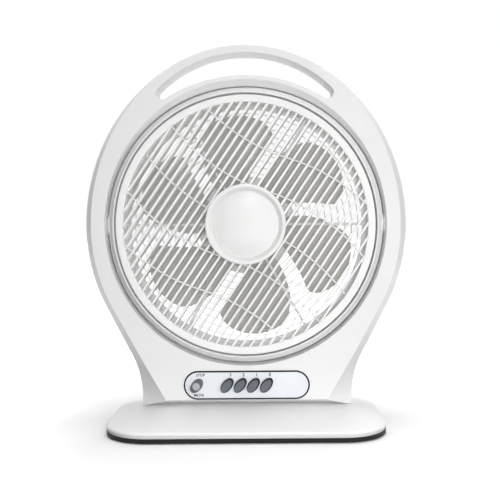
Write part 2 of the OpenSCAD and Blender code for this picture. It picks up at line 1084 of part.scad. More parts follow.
module louvre_bridge() {
    color("white")
    difference() {
        at_head() {
            tube(lm_r + touch + cup_wall, lm_r + touch, lm_front + 3, bridge_back);
            disc(lm_r + touch + cup_wall, lm_back + touch, bridge_back);
            around(spoke_count)
                translate([lm_r + cup_wall - 0.5, -spoke_t / 2, shoulder_at + shoulder_t + touch])
                    cube([duct_r - lm_r + 6, spoke_t, bridge_back - shoulder_at - shoulder_t - touch]);
            around(spoke_count)
                translate([duct_r + 6, 0, shoulder_at + shoulder_t + touch])
                    cylinder(r = post_r, h = bridge_back - shoulder_at - shoulder_t - touch);
        }
        bridge_spots()
            pilot();
    }
}

module bridge_screws() {
    color("silver")
    bridge_spots()
        translate([0, 0, bridge_back - shoulder_at - shoulder_t])
            rotate([180, 0, 0])
                screw(bridge_screw);
}

module louvre_motor() {
    color("#b9bcc2")
    at_head()
        difference() {
            union() {
                disc(lm_r, lm_front, lm_back);
                disc(6, lm_front - 2, lm_front + eps);
            }
            disc(ls_r + run_gap, lm_front - 3, lm_back - 4);
        }
}

module motor_spots() {
    at_head()
        around(4, 45)
            translate([bell_flange_r - 5, 0, plate_front])
                children();
}

module cover_spots() {
    at_head()
        around(3, cover_turn)
            translate([cover_r + cover_lug, 0, plate_back])
                children();
}

module motor_front_bell() {
    flange_back = plate_back + bell_flange_t;
    color("#9ea1a6")
    difference() {
        at_head()
            difference() {
                union() {
                    disc(bell_flange_r, plate_back + touch, flange_back);
                    disc(stator_r + bell_wall, flange_back - eps, core_front + 5);
                    disc(bell_nose_r, plate_front - nose_len + 4, plate_back + 1);
                }
                disc(stator_r + touch, flange_back, core_front + 6);
                disc(bush_out_r + touch, plate_front - nose_len + 6, flange_back + cut);
                disc(shaft_r + part_gap, plate_front - nose_len - cut, flange_back);
            }
        motor_spots()
            pilot();
    }
}

module motor_rear_bell() {
    color("#9ea1a6")
    at_head()
        difference() {
            union() {
                difference() {
                    disc(stator_r + bell_wall, core_back - 5, rear_bell_back);
                    disc(stator_r + touch, core_back - 6, rear_bell_back - bell_wall);
                }
                disc(bush_out_r + 2 * bell_wall, core_back + 1.5, rear_bell_back - 1);
            }
            disc(bush_out_r + touch, core_back, rear_bell_back - 0.8);
        }
}

module stator_core() {
    slots = 16;
    color("#6d7075")
    at_head()
        difference() {
            tube(stator_r, rotor_r + air_gap, core_front, core_back);
            around(slots)
                translate([rotor_r + 6, -2.5, core_front - cut])
                    cube([10, 5, core_back - core_front + 2 * cut]);
        }
}

module stator_windings() {
    color("#b5702f")
    at_head() {
        tube(coil_out, coil_in, core_front - coil_len, core_front - touch);
        tube(coil_out, coil_in, core_back + touch, core_back + coil_len);
    }
}

module motor_bearings() {
    nose_in = plate_front - nose_len + 6;
    color("#a98b4d")
    at_head() {
        tube(bush_out_r, shaft_r + run_gap, nose_in + touch, nose_in + bush_len);
        tube(bush_out_r, shaft_r + run_gap, core_back + 1.5, rear_bell_back - 0.8 - touch);
    }
}

module motor_screws() {
    color("silver")
    motor_spots()
        screw(bell_screw);
}

module motor_cover() {
    color("white")
    difference() {
        at_head()
            difference() {
                union() {
                    disc(cover_r, plate_back + touch, cover_back - cover_edge);
                    translate([0, 0, cover_back - cover_edge])
                        cylinder(r1 = cover_r, r2 = cover_r - cover_edge, h = cover_edge);
                    around(3, cover_turn)
                        translate([cover_r + cover_lug, 0, plate_back + touch])
                            cylinder(r = cover_lug + 0.4, h = cover_lug_h);
                }
                disc(cover_r - cover_wall, plate_back - cut, cover_back - cover_edge - 1);
                translate([0, 0, cover_back - cover_edge - 1 - eps])
                    cylinder(r1 = cover_r - cover_wall, r2 = cover_r - cover_edge - cover_wall,
                        h = cover_edge + 1 - cover_wall);
                around(vent_count)
                    translate([vent_in, -vent_w / 2, cover_back - cover_edge - 1])
                        cube([vent_len, vent_w, cover_edge + 2]);
            }
        cover_spots()
            pilot();
    }
}

module cover_screws() {
    color("silver")
    cover_spots()
        translate([0, 0, cover_lug_h + touch])
            rotate([180, 0, 0])
                screw(cover_screw);
}

// Impeller

function blade_mid(r) = -6.5 - blade_sweep * min(1, (r / blade_r - 0.366) / 0.48);

function blade_half_at(r) =
    let (t = max(0, (r / blade_r - 0.735) / 0.265),
         g = min(1, max(0, (r - blade_root_r) / (0.6 * blade_r - blade_root_r))))
    lerp(blade_root_half, blade_half, g * (2 - g)) * sqrt(max(0.008, 1 - pow(t, 2.6)));

// One point of a blade: across the chord from the front edge (0) to the back edge (1)
function blade_pt(r, c, shift) =
    let (k = 2 * c - 1, half = blade_half_at(r), a = k * half - blade_mid(r),
         mid = (blade_front + blade_back) / 2, depth = (blade_back - blade_front) / 2,
         z = mid + k * depth * min(1, half / blade_root_half) * 0.9
             + blade_camber * (1 - k * k) * half / blade_half + shift)
    [r * cos(a), r * sin(a), z];

module blade() {
    rs = [for (i = [0:n_rad]) blade_root_r + (blade_r - blade_root_r) * sin(90 * i / n_rad)];
    cs = [for (j = [0:n_chord]) j / n_chord];
    loop = function (r) concat(
        [for (c = cs) blade_pt(r, c, -blade_t / 2)],
        [for (j = [n_chord:-1:0]) blade_pt(r, cs[j], blade_t / 2)]);
    skin([for (i = [n_rad:-1:0]) loop(rs[i])], strips = true);
}

module fan_blade() {
    color("#969490")
    at_head() {
        difference() {
            disc(fan_hub_r, hub_front, hub_back);
            disc(fan_hub_r - fan_hub_wall, hub_front + 3, hub_back + cut);
            disc(shaft_r + touch, hub_front - cut, hub_front + 4);
        }
        tube(fan_boss_r, shaft_r + touch, hub_front + 1, hub_back - 8);
        difference() {
            around(blade_count, blade_turn)
                blade();
            disc(fan_hub_r - fan_hub_wall / 2, 0, shroud_back);
        }
    }
}

module blade_nut() {
    color("#3f4146")
    at_head()
        difference() {
            union() {
                disc(nut_r, nut_front + 2, hub_front - touch);
                disc(nut_r - 3, nut_front, hub_front - 1);
            }
            disc(shaft_r + touch, shaft_front - touch, hub_front + cut);
            around(12)
                translate([nut_r + 0.6, 0, nut_front - cut])
                    cylinder(r = 1.5, h = hub_front);
        }
}

module rotor_core() {
    color("#7b7e84")
    at_head()
        tube(rotor_r, shaft_r + touch, core_front, core_back);
}

module motor_shaft() {
    color("silver")
    at_head()
        disc(shaft_r, shaft_front, shaft_back);
}

// Louvre

module slats() {
    count = 2 * ceil(ring_in / slat_pitch);
    intersection() {
        for (i = [0:count - 1])
            translate([0, (i - count / 2 + 0.5) * slat_pitch, louvre_front])
                rotate([-slat_lean, 0, 0])
                    translate([-louvre_r, -slat_t / 2, -2])
                        cube([2 * louvre_r, slat_t, slat_depth + 4]);
        tube(ring_in + ring_wall / 2, hub_r - hub_wall / 2, louvre_front, louvre_front + slat_depth);
    }
}

// Half of one S-shaped rib: an arc on one side of the middle
module rib_arc(at, side) {
    intersection() {
        translate([at + side * (rib_amp - rib_arc), side * rib_wave / 2])
            difference() {
                circle(r = rib_arc + rib_t / 2);
                circle(r = rib_arc - rib_t / 2);
            }
        translate([at + side * (rib_amp - rib_arc) + side * rib_arc / 2, side * louvre_r / 2])
            square([1.4 * rib_arc, louvre_r + 2 * eps], center = true);
    }
}

module ribs() {
    first = -(rib_count - 1) / 2;
    intersection() {
        translate([0, 0, louvre_front])
            linear_extrude(rib_depth)
                for (i = [0:rib_count - 1], side = [-1, 1])
                    rib_arc((first + i) * rib_pitch, side);
        tube(ring_in + ring_wall / 2, hub_r - hub_wall / 2,
            louvre_front - cut, louvre_front + rib_depth + cut);
    }
}

module louvre_grille() {
    color("white")
    at_head()
        rotate([0, 0, -slat_angle]) {
            slats();
            ribs();
            tube(louvre_r, ring_in, louvre_front, louvre_front + ring_face_t);
            tube(louvre_r, louvre_r - ring_wall, louvre_front, louvre_front + slat_depth + 1);
            tube(ring_in + ring_wall, ring_in, louvre_front, louvre_front + slat_depth + 1);
            tube(hub_r, hub_r - hub_wall, louvre_front, louvre_front + slat_depth);
            tube(hub_r, ls_r + touch, louvre_front, louvre_front + hub_face_t);
        }
}

module hub_cap() {
    base = louvre_front - touch;
    color("white")
    at_head()
        difference() {
            union() {
                rotate_extrude()
                    polygon([
                        [0, base], [cap_r - 1, base], [cap_r, base - 1],
                        [cap_r, base - cap_rim_h + 2], [cap_r - 2, base - cap_rim_h],
                        [cap_r - cap_rim_w, base - cap_rim_h], [cap_dish_r, base - cap_dish_h],
                        [0, base - cap_dish_h]]);
                intersection() {
                    translate([0, 0, base - cap_dish_h - cap_dome_h + cap_dome_r])
                        sphere(r = cap_dome_r);
                    disc(cap_dish_r, base - cap_dish_h - cap_dome_h - cut, base - cap_dish_h + eps);
                }
            }
            disc(cap_dish_r - cap_wall, base - cap_dish_h + cap_wall, base + cut);
            intersection() {
                translate([0, 0, base - cap_dish_h - cap_dome_h + cap_dome_r])
                    sphere(r = cap_dome_r - cap_wall);
                disc(cap_dish_r - 3 * cap_wall, base - cap_dish_h - cap_dome_h, base);
            }
        }
}

module louvre_shaft() {
    color("silver")
    at_head()
        difference() {
            disc(ls_r, louvre_front - 2, lm_back - 5);
            disc(pilot_r, louvre_front - 3, louvre_front + 3.5);
        }
}

module louvre_screw() {
    color("silver")
    at_head()
        translate([0, 0, louvre_front - 2 - touch]) {
            disc(screw_r, -eps, hub_screw);
            disc(hub_screw_head_r, -screw_head_h + part_gap, 0);
        }
}

base_cover();
base_tray();
rubber_feet();
base_screws();
neck_screws();
front_frame();
rear_frame();
frame_screws();
panel_bezel();
panel_plate();
speed_switch();
switch_screws();
louvre_switch();
capacitor();
terminal_block();
cord_gland();
pivot_bushes();
fan_shroud();
rear_grille();
grille_screws();
louvre_bridge();
bridge_screws();
louvre_motor();
motor_front_bell();
motor_rear_bell();
stator_core();
stator_windings();
motor_bearings();
motor_screws();
motor_cover();
cover_screws();
pivot_bolts();
spring_washers();
friction_washers();
fan_blade();
blade_nut();
rotor_core();
motor_shaft();
louvre_grille();
hub_cap();
louvre_shaft();
louvre_screw();
button_3();
button_2();
button_1();
button_0();
louvre_knob();
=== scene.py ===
"""Looks of the ring-frame fan: smooth meshes, materials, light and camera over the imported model.

Shapes are worked out in millimetres, in the frame of the solids, and scaled when a mesh is made.
The fan axis lies along y at the height CENTRE_Z, and y grows from the front to the back.
Profiles about that axis are pairs of radius and depth, with the depth counted from PIVOT_Y.
"""

import json
import math

import bmesh
import bpy
from mathutils import Matrix, Vector


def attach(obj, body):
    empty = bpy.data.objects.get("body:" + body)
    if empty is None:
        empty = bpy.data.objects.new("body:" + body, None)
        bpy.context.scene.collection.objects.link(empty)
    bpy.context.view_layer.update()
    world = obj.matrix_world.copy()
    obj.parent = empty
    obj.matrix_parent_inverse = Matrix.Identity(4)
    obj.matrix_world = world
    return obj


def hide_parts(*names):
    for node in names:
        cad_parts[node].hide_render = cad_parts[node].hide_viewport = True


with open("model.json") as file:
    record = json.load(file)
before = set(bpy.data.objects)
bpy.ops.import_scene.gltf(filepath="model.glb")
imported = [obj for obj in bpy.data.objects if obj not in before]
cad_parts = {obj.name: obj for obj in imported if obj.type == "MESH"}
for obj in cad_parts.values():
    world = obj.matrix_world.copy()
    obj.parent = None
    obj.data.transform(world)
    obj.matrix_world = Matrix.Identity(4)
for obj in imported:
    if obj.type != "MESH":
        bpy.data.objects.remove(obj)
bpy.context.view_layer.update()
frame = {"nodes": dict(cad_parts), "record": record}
nodes = frame["nodes"]

MM = 0.001
WELD = 1e-4                       # points closer than this are taken as one
PIVOT_Y, CENTRE_Z = 20.0, 270.0   # the head's pivots; the frame's halves part at PIVOT_Y
FACE_Y, BACK_Y = -6.0, 46.0       # the frame's front and back
THROAT = 189.003                  # radius of the frame's opening
QUARTER = (22, 45, 67, 90)        # steps of a small rounded edge, in degrees
SIDES = 240                       # points round the largest rings


def sind(a):
    return math.sin(math.radians(a))


def cosd(a):
    return math.cos(math.radians(a))


def lerp(a, b, t):
    return a + (b - a) * t


# Mesh building

class Build:
    """Collects points and faces and makes one object of them."""

    def __init__(self):
        self.v = []
        self.f = []

    def add(self, pts):
        start = len(self.v)
        self.v.extend(tuple(p) for p in pts)
        return list(range(start, start + len(pts)))

    def strip(self, a, b, closed=True):
        """Quads between two rows of points."""
        n = len(a)
        for i in range(n if closed else n - 1):
            j = (i + 1) % n
            self.f.append((a[i], a[j], b[j], b[i]))

    def cap(self, loop):
        self.f.append(tuple(loop))

    def loft(self, rings):
        """A skin through rings, open at both ends."""
        loops = [self.add(r) for r in rings]
        for a, b in zip(loops, loops[1:]):
            self.strip(a, b)
        return loops

    def solid(self, rings):
        """A closed tube of rings with flat ends."""
        loops = self.loft(rings)
        self.cap(loops[0])
        self.cap(loops[-1])

    def turn(self, profile, n, closed=True):
        """A profile turned about the fan axis."""
        loops = []
        for k in range(n):
            a = 2 * math.pi * k / n
            loops.append(self.add([(r * math.cos(a), PIVOT_Y + h, CENTRE_Z + r * math.sin(a))
                                   for r, h in profile]))
        for k in range(n):
            self.strip(loops[k], loops[(k + 1) % n], closed)

    def fill(self, loops):
        """Triangles in a flat area between loops of points."""
        bm = bmesh.new()
        tags = {}
        edges = []
        for loop in loops:
            vs = []
            for i in loop:
                v = bm.verts.new(self.v[i])
                tags[v] = i
                vs.append(v)
            for i in range(len(vs)):
                edges.append(bm.edges.new((vs[i], vs[(i + 1) % len(vs)])))
        bmesh.ops.triangle_fill(bm, edges=edges, use_beauty=True)
        for f in bm.faces:
            self.f.append(tuple(tags[v] for v in f.verts))
        bm.free()

    def make(self, name, body, slot, stands_for=(), material=None, angle=38, weighted=False,
             after=None, inward=False):
        """The object, with edges sharper than an angle kept and the slot's material by default.

        after is run on the mesh before its faces are turned outward, or inward for a lining.
        """
        mesh = bpy.data.meshes.new(name)
        bm = bmesh.new()
        vs = [bm.verts.new(p) for p in self.v]
        for f in self.f:
            if len(set(f)) > 2:
                try:
                    bm.faces.new([vs[i] for i in f])
                except ValueError:      # the face is already there
                    pass
        bmesh.ops.remove_doubles(bm, verts=bm.verts, dist=WELD)
        if after:
            after(bm)
        bmesh.ops.recalc_face_normals(bm, faces=bm.faces)
        if inward:
            bmesh.ops.reverse_faces(bm, faces=bm.faces)
        bm.transform(Matrix.Scale(MM, 4))
        bm.to_mesh(mesh)
        bm.free()
        mesh.shade_smooth()
        mesh.set_sharp_from_angle(angle=math.radians(angle))
        ob = bpy.data.objects.new(name, mesh)
        bpy.context.scene.collection.objects.link(ob)
        mesh.materials.append(material or MATS[slot])
        if weighted:
            mod = ob.modifiers.new("even shading", "WEIGHTED_NORMAL")
            mod.mode = "FACE_AREA"
            mod.weight = 90
            mod.keep_sharp = True
        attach(ob, body)
        if stands_for:
            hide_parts(*stands_for)


def arc(r, a0, a1, n):
    """Points of an arc about the pivots, in a profile."""
    turns = [lerp(a0, a1, i / n) for i in range(n + 1)]
    return [(r * cosd(a), r * sind(a)) for a in turns]


def rounded(profile, n=4, closed=True):
    """A profile of (a, b, radius) with its corners rounded."""
    out = []
    m = len(profile)
    for i, (x, y, r) in enumerate(profile):
        if r <= 0 or (not closed and i in (0, m - 1)):
            out.append((x, y))
            continue
        p = Vector((x, y))
        a = Vector(profile[i - 1][:2]) - p
        b = Vector(profile[(i + 1) % m][:2]) - p
        la, lb = a.length, b.length
        a, b = a / la, b / lb
        half = a.angle(b) / 2
        d = min(r / math.tan(half), 0.49 * la, 0.49 * lb)   # less than half of either side
        rr = d * math.tan(half)
        c = p + (a + b).normalized() * (rr / math.sin(half))
        s = p + a * d - c
        e = p + b * d - c
        sweep = s.angle_signed(e)
        for k in range(n + 1):
            t = -sweep * k / n
            out.append((c.x + s.x * math.cos(t) - s.y * math.sin(t),
                        c.y + s.x * math.sin(t) + s.y * math.cos(t)))
    return out


def circle(r, y, cx, cz, n):
    turns = [2 * math.pi * i / n for i in range(n)]
    return [(cx + r * math.cos(a), y, cz + r * math.sin(a)) for a in turns]


def radial(r, across, a, h):
    """A point by its radius along an angle, its offset across that line, and its depth."""
    return (r * cosd(a) - across * sind(a), PIVOT_Y + h, CENTRE_Z + r * sind(a) + across * cosd(a))


# Materials

def node(tree, kind, **values):
    """A shader node with values set on its sockets or, failing that, on the node."""
    n = tree.nodes.new(kind)
    for k, v in values.items():
        if k in n.inputs:
            n.inputs[k].default_value = v
        else:
            setattr(n, k, v)
    return n


def map_range(tree, low, high, to_low, to_high, **values):
    return node(tree, "ShaderNodeMapRange", **{"From Min": low, "From Max": high, "To Min": to_low,
                                               "To Max": to_high}, **values)


MOTTLE = 9.0                      # scale of the slow drift of tone
NOISE_LOW, NOISE_HIGH = 0.3, 0.7  # the part of a noise's range that is used
GLOSS_SPREAD = 0.06


def moulded(name, colour, rough, tone=0.02, grain=1500.0, depth=0.00003, metallic=0.0, coat=0.0,
            spec=0.5, inside=0.0, reach=0.004):
    """A moulded surface: fine grain in the relief and the gloss, and a slow drift of tone."""
    mat = bpy.data.materials.new(name)
    mat.use_nodes = True
    tree = mat.node_tree
    link = tree.links.new
    bsdf = tree.nodes["Principled BSDF"]
    for key, value in (("Metallic", metallic), ("Coat Weight", coat), ("Coat Roughness", 0.12),
                       ("Specular IOR Level", spec), ("Subsurface Weight", inside),
                       ("Subsurface Radius", (1.0, 1.0, 0.95)), ("Subsurface Scale", reach)):
        bsdf.inputs[key].default_value = value
    place = node(tree, "ShaderNodeTexCoord")
    slow = node(tree, "ShaderNodeTexNoise", Scale=MOTTLE, Detail=4.0, Roughness=0.55)
    fine = node(tree, "ShaderNodeTexNoise", Scale=grain, Detail=3.0, Roughness=0.6)
    link(place.outputs["Object"], slow.inputs["Vector"])
    link(place.outputs["Object"], fine.inputs["Vector"])
    ramp = node(tree, "ShaderNodeValToRGB")
    dark, light = ramp.color_ramp.elements
    dark.position, light.position = NOISE_LOW, NOISE_HIGH
    dark.color = (*[c * (1 - tone) for c in colour], 1)
    light.color = (*[min(1, c * (1 + tone)) for c in colour], 1)
    link(slow.outputs["Fac"], ramp.inputs["Fac"])
    link(ramp.outputs["Color"], bsdf.inputs["Base Color"])
    gloss = map_range(tree, NOISE_LOW, NOISE_HIGH, rough - GLOSS_SPREAD, rough + GLOSS_SPREAD)
    link(fine.outputs["Fac"], gloss.inputs["Value"])
    link(gloss.outputs["Result"], bsdf.inputs["Roughness"])
    bump = node(tree, "ShaderNodeBump", Strength=0.35, Distance=depth)
    link(fine.outputs["Fac"], bump.inputs["Height"])
    link(bump.outputs["Normal"], bsdf.inputs["Normal"])
    return mat


# One material for each slot of the record, and five for pieces that differ from their slot
MATS = {
    "white_shell": moulded("white shell", (0.78, 0.78, 0.78), rough=0.34),
    "white_grille": moulded("white grille", (0.85, 0.85, 0.84), rough=0.4, inside=0.35,
                            reach=0.003),
    "dark_plastic": moulded("dark plastic", (0.014, 0.014, 0.015), rough=0.45, tone=0.1, grain=2200,
                            spec=0.2),
    "foot_rubber": moulded("foot rubber", (0.02, 0.02, 0.02), rough=0.75, tone=0.12, grain=1800,
                           depth=0.00008),
    "silver_panel": moulded("silver panel", (0.74, 0.76, 0.80), rough=0.3, tone=0.03, grain=2600,
                            metallic=0.15),
    "slate_button": moulded("slate button", (0.105, 0.115, 0.135), rough=0.3, tone=0.06, grain=2600,
                            coat=0.15),
    "warm_grey_blade": moulded("warm grey blade", (0.59, 0.575, 0.55), rough=0.45, tone=0.04),
    "zinc_steel": moulded("zinc steel", (0.55, 0.55, 0.57), rough=0.3, tone=0.08, grain=900,
                          metallic=1.0),
    "pressed_alloy": moulded("pressed alloy", (0.62, 0.62, 0.63), rough=0.38, tone=0.06, grain=700,
                             metallic=1.0),
    "bearing_bronze": moulded("bearing bronze", (0.42, 0.25, 0.09), rough=0.4, tone=0.1, grain=1900,
                              metallic=1.0),
    "copper_wire": moulded("copper wire", (0.45, 0.15, 0.05), rough=0.3, tone=0.15, grain=400,
                           depth=0.0003, metallic=0.8),
    "nylon": moulded("nylon", (0.68, 0.66, 0.6), rough=0.5, tone=0.04, grain=1700),
}
# A lighter copy of the grille's white, for the duct lining and the rear guard: painted light that
# lifts the shade they lie in inside the head.
PAINTED_LIGHT_WHITE = moulded("white painted lighter over shade", (0.93, 0.93, 0.925), rough=0.45, inside=0.35, reach=0.003)
CAP_WHITE = moulded("cap white", (0.78, 0.78, 0.775), rough=0.26)
INK = moulded("panel ink", (0.03, 0.032, 0.04), rough=0.5, tone=0.1, grain=3000)
KNOB_SKIRT = moulded("knob skirt", (0.10, 0.105, 0.12), rough=0.4, tone=0.08, grain=2400)
SILVER = moulded("knob silver", (0.40, 0.41, 0.43), rough=0.28, tone=0.04, grain=2600,
                 metallic=0.35, coat=0.2)


# Frame, as two halves that meet at the parting plane

BASE_HW, BASE_HD, BASE_CORNER = 181.0, 100.0, 0.58   # the corner as a share of the half depth
RIM_Z, RIM_ROUND, BASE_RISE, TRAY_TOP = 14.5, 5.0, 11.5, 6.4
COLUMN_Z = 33.0
FOOT_V = COLUMN_Z - CENTRE_Z
UP, LOW, FLANK, FOOT = 72, 28, 40, 30                # points on the outline, from the top down
FACE = dict(a=THROAT + 21, up=THROAT + 54, low=THROAT + 33, slope=0.57)
SIDE = dict(a=THROAT + 32, up=THROAT + 58, low=THROAT + 45, slope=0.54, foot=THROAT - 45)
FLANK_BOW, SIDE_BOW, FOOT_GAP, MIN_BEND = 0.6, 0.5, 0.3, 0.01
EDGE_R, SLOT_EDGE, THROAT_FLARE = 1.5, 0.9, 7.5
SEAM, SEAM_IN = 0.35, 0.3                            # the small bevel along the parting plane
PANEL_W, PANEL_H, PANEL_Z = 170.0, 38.6, 53.1


def dome_z(d):
    """Height of the base's crowned top at a distance from its edge."""
    return RIM_Z + BASE_RISE * (1 - (1 - (d - RIM_ROUND) / (BASE_HD - RIM_ROUND)) ** 2)


def half_sides(a, up, low, slope, foot):
    """Right half of the outline from the top down to the column's foot.

    The flank leaves the lower arc along its slope, and may bend upright before the foot.
    """
    al = math.degrees(math.atan(slope))
    th = math.degrees(math.atan(slope * low / a))
    top = (a * cosd(th), -low * sind(th))
    drop, side, den = top[1] - FOOT_V, top[0] - foot, 1 - cosd(al)
    rad = max(0.0, (drop * sind(al) - side * cosd(al)) / den)
    bent = rad > MIN_BEND
    run_len = (side * sind(al) - drop * den) / den if bent else drop / cosd(al)
    whole = run_len + rad * math.radians(al)
    pts = [(a * sind(90 * i / UP), up * cosd(90 * i / UP)) for i in range(UP + 1)]
    pts += [(a * cosd(th * i / LOW), -low * sind(th * i / LOW)) for i in range(1, LOW + 1)]
    for i in range(1, FLANK + 1):
        s = i / FLANK
        d = s * whole
        out = FLANK_BOW * sind(180 * s)
        be = al - math.degrees((d - run_len) / rad) if bent and d > run_len else al
        run = min(d, run_len)
        pts.append((top[0] - run * sind(al) - rad * (cosd(be) - cosd(al)) + out * cosd(be),
                    top[1] - run * cosd(al) - rad * (sind(al) - sind(be)) - out * sind(be)))
    return pts


def outline(sides, foot, y):
    """Whole outline at a depth: the sides, and the foot that follows the base there."""
    half = list(sides)
    for i in range(FOOT + 1):
        k = 1 - i / FOOT
        x = foot * k
        base = dome_z(min(BASE_HW - x, BASE_HD - abs(y)))
        half.append((x, base + FOOT_GAP * (2 - k * k) - CENTRE_Z))
    pts = half[::-1] + [(-x, z) for x, z in half[1:-1]]
    return [(x, y, z + CENTRE_Z) for x, z in pts]


# Half the width of the front face's foot, where its straight flanks end
TH = math.degrees(math.atan(FACE["slope"] * FACE["low"] / FACE["a"]))
FACE_FOOT = FACE["a"] * cosd(TH) - FACE["slope"] * (-FACE["low"] * sind(TH) - FOOT_V)


def face_sides(inset):
    return half_sides(FACE["a"] - inset, FACE["up"] - inset, FACE["low"] - inset, FACE["slope"],
                      FACE_FOOT - inset)


def face_ring(inset, y):
    return outline(face_sides(inset), FACE_FOOT - inset, y)


def side_ring(t, y, inset=0.0):
    """Ring between the face edge (0) and the parting plane (1), slightly crowned."""
    bow = SIDE_BOW * sind(180 * t)
    k = 1 + (bow - inset) / SIDE["a"]
    sides = []
    for i, (p, q) in enumerate(zip(face_sides(0), half_sides(**SIDE))):
        lift = (bow - inset) * (1 - i / UP) if i <= UP else 0.0
        sides.append((k * lerp(p[0], q[0], t), lerp(p[1], q[1], t) + lift))
    return outline(sides, k * lerp(FACE_FOOT, SIDE["foot"], t), y)


# Handle slot: its lower and upper radius, the upper one's centre, and the angle where it ends
SLOT_LOW = THROAT + 13.5
SLOT_UP = SLOT_LOW * 0.817
SLOT_C = FACE["up"] - 11.5 - SLOT_UP
SLOT_END = 58.0


def slot_loop(low, up, y, n=72, caps=20):
    """The crescent slot, its lower and upper sides moved out by margins."""
    lo = SLOT_LOW - low

    def far(t):
        return SLOT_C * sind(t) + math.sqrt((SLOT_UP + up) ** 2 - (SLOT_C * cosd(t)) ** 2)

    def end(ang, side):
        hi = far(ang)
        mid, g = (lo + hi) / 2, (hi - lo) / 2
        out = []
        for i in range(1, caps):
            s = -90 + 180 * i / caps
            r, over = mid + g * sind(s), side * g * cosd(s)
            out.append((r * cosd(ang) + over * sind(ang), r * sind(ang) - over * cosd(ang)))
        return out

    span = 180 - 2 * SLOT_END
    turns = [SLOT_END + span * i / n for i in range(n + 1)]
    pts = [(lo * cosd(t), lo * sind(t)) for t in turns[::-1]]
    pts += end(SLOT_END, 1)
    pts += [(far(t) * cosd(t), far(t) * sind(t)) for t in turns]
    pts += end(180 - SLOT_END, -1)[::-1]
    return [(x, y, z + CENTRE_Z) for x, z in pts]


def throat_ring(r, y, low):
    """A ring of the throat, whose flare is widest at the top."""
    pts = []
    for i in range(SIDES):
        a = 360 * i / SIDES
        k = THROAT + (r - THROAT) * lerp(low, 1, max(0, sind(a)) ** 2)
        pts.append((k * cosd(a), y, CENTRE_Z + k * sind(a)))
    return pts


def stadium(inset, y, n=40):
    """The control panel's outline, drawn in."""
    w, h = PANEL_W - 2 * inset, PANEL_H - 2 * inset
    r = h / 2
    pts = []
    for side, a0 in ((1, -90), (-1, 90)):
        for i in range(n + 1):
            a = a0 + 180 * i / n
            pts.append((side * (w / 2 - r) + r * cosd(a), y, PANEL_Z + r * sind(a)))
    return pts


def screw_spots():
    """Where the frame screws sit, seen from the back."""
    near, high = THROAT + 12.5, THROAT + 21
    spots = [(near * cosd(a), CENTRE_Z + near * sind(a)) for a in (25, 155, 205, 335)]
    spots += [(high * cosd(a), CENTRE_Z + high * sind(a)) for a in (47, 133)]
    return spots + [(side * 100.0, COLUMN_Z + 12) for side in (-1, 1)]


def bevel(y, normal):
    """A cut along a sloping plane under a face of the column, closed afterwards."""
    def cut(bm):
        got = bmesh.ops.bisect_plane(bm, geom=bm.verts[:] + bm.edges[:] + bm.faces[:], dist=WELD,
                                     plane_co=(0, y, COLUMN_Z), plane_no=normal, clear_outer=True)
        edges = [e for e in got["geom_cut"] if isinstance(e, bmesh.types.BMEdge)]
        bmesh.ops.triangle_fill(bm, edges=edges, use_beauty=True)

    return cut


def frame_half(front):
    """The front or the rear half: both are drawn as a front one, and the rear one is flipped."""
    b = Build()
    seam = PIVOT_Y - SEAM

    def flip(ring):
        return ring if front else [(x, 2 * PIVOT_Y - y, z) for x, y, z in ring]

    outer = [face_ring(EDGE_R * (1 - sind(a)), FACE_Y + EDGE_R * (1 - cosd(a)))
             for a in (0, 18, 36, 54, 72, 90)]
    outer += [side_ring(i / 8, lerp(FACE_Y + EDGE_R, seam, i / 8)) for i in range(1, 9)]
    outer.append(side_ring(1, PIVOT_Y, SEAM_IN))
    outer = b.loft([flip(r) for r in outer])

    # The throat's flare; the profile's first point only gives the face's direction
    deep, soft, low = (13, 2.5, 0.22) if front else (7, 8.0, 1.0)
    profile = rounded([(240, FACE_Y, 0), (THROAT + THROAT_FLARE, FACE_Y, soft),
                       (THROAT, FACE_Y + deep, soft), (THROAT, seam, 0),
                       (THROAT + SEAM_IN, PIVOT_Y, 0)], n=8, closed=False)[1:]
    bore = b.loft([flip(throat_ring(r, y, low)) for r, y in profile])

    rise = 1.0 if front else 5.5
    slot = []
    for a in (0,) + QUARTER:
        soft = SLOT_EDGE * (1 - sind(a))
        slot.append(slot_loop(1 + soft, rise + soft, FACE_Y + SLOT_EDGE * (1 - cosd(a))))
    slot += [slot_loop(lerp(1, -1, t), lerp(rise, -1, t), lerp(FACE_Y + SLOT_EDGE, seam, t))
             for t in (0.33, 0.67, 1)]
    slot.append(slot_loop(-0.7, -0.7, PIVOT_Y))
    slot = b.loft([flip(r) for r in slot])

    face = [outer[0], bore[0], slot[0]]
    if front:
        well = b.loft([stadium(-0.2, y) for y in (FACE_Y, FACE_Y + 3)])
        face.append(well[0])
    else:
        screw = ((4.0, BACK_Y), (3.8, BACK_Y - 0.3), (3.8, 28.2))
        holes = [[circle(r, y, x, z, 40) for r, y in screw] for x, z in screw_spots()]
        holes.append([circle(6.5, y, 0, PANEL_Z, 48) for y in (BACK_Y, 26.0)])
        for rings in holes:
            hole = b.loft(rings)
            b.cap(hole[-1])
            face.append(hole[0])
    b.fill(face)
    b.fill([outer[-1], bore[-1], slot[-1]])
    if front:
        name, stands, cut = "front_shell", "front_frame", bevel(FACE_Y, (0, -0.5, -1))
    else:
        name, stands, cut = "rear_shell", "rear_frame", bevel(BACK_Y, (0, 1.2, -1))
    b.make(name, "stand", "white_shell", (stands,), angle=34, weighted=True, after=cut)


frame_half(True)
frame_half(False)


# Base

RIM_R, RIM_STEPS, DOME_STEPS, DOME_END = 3.0, 8, 48, 96


def base_ring(d, z, n=20):
    """The base's outline, drawn in by d."""
    hw, hd = BASE_HW - d, BASE_HD - d
    r = BASE_CORNER * hd
    pts = []
    for q in range(4):
        sx, sy = (1 if q in (0, 3) else -1), (1 if q < 2 else -1)
        for j in range(n + 1):
            a = 90 * (q + j / n)
            pts.append((sx * (hw - r) + r * cosd(a), sy * (hd - r) + r * sind(a), z))
    return pts


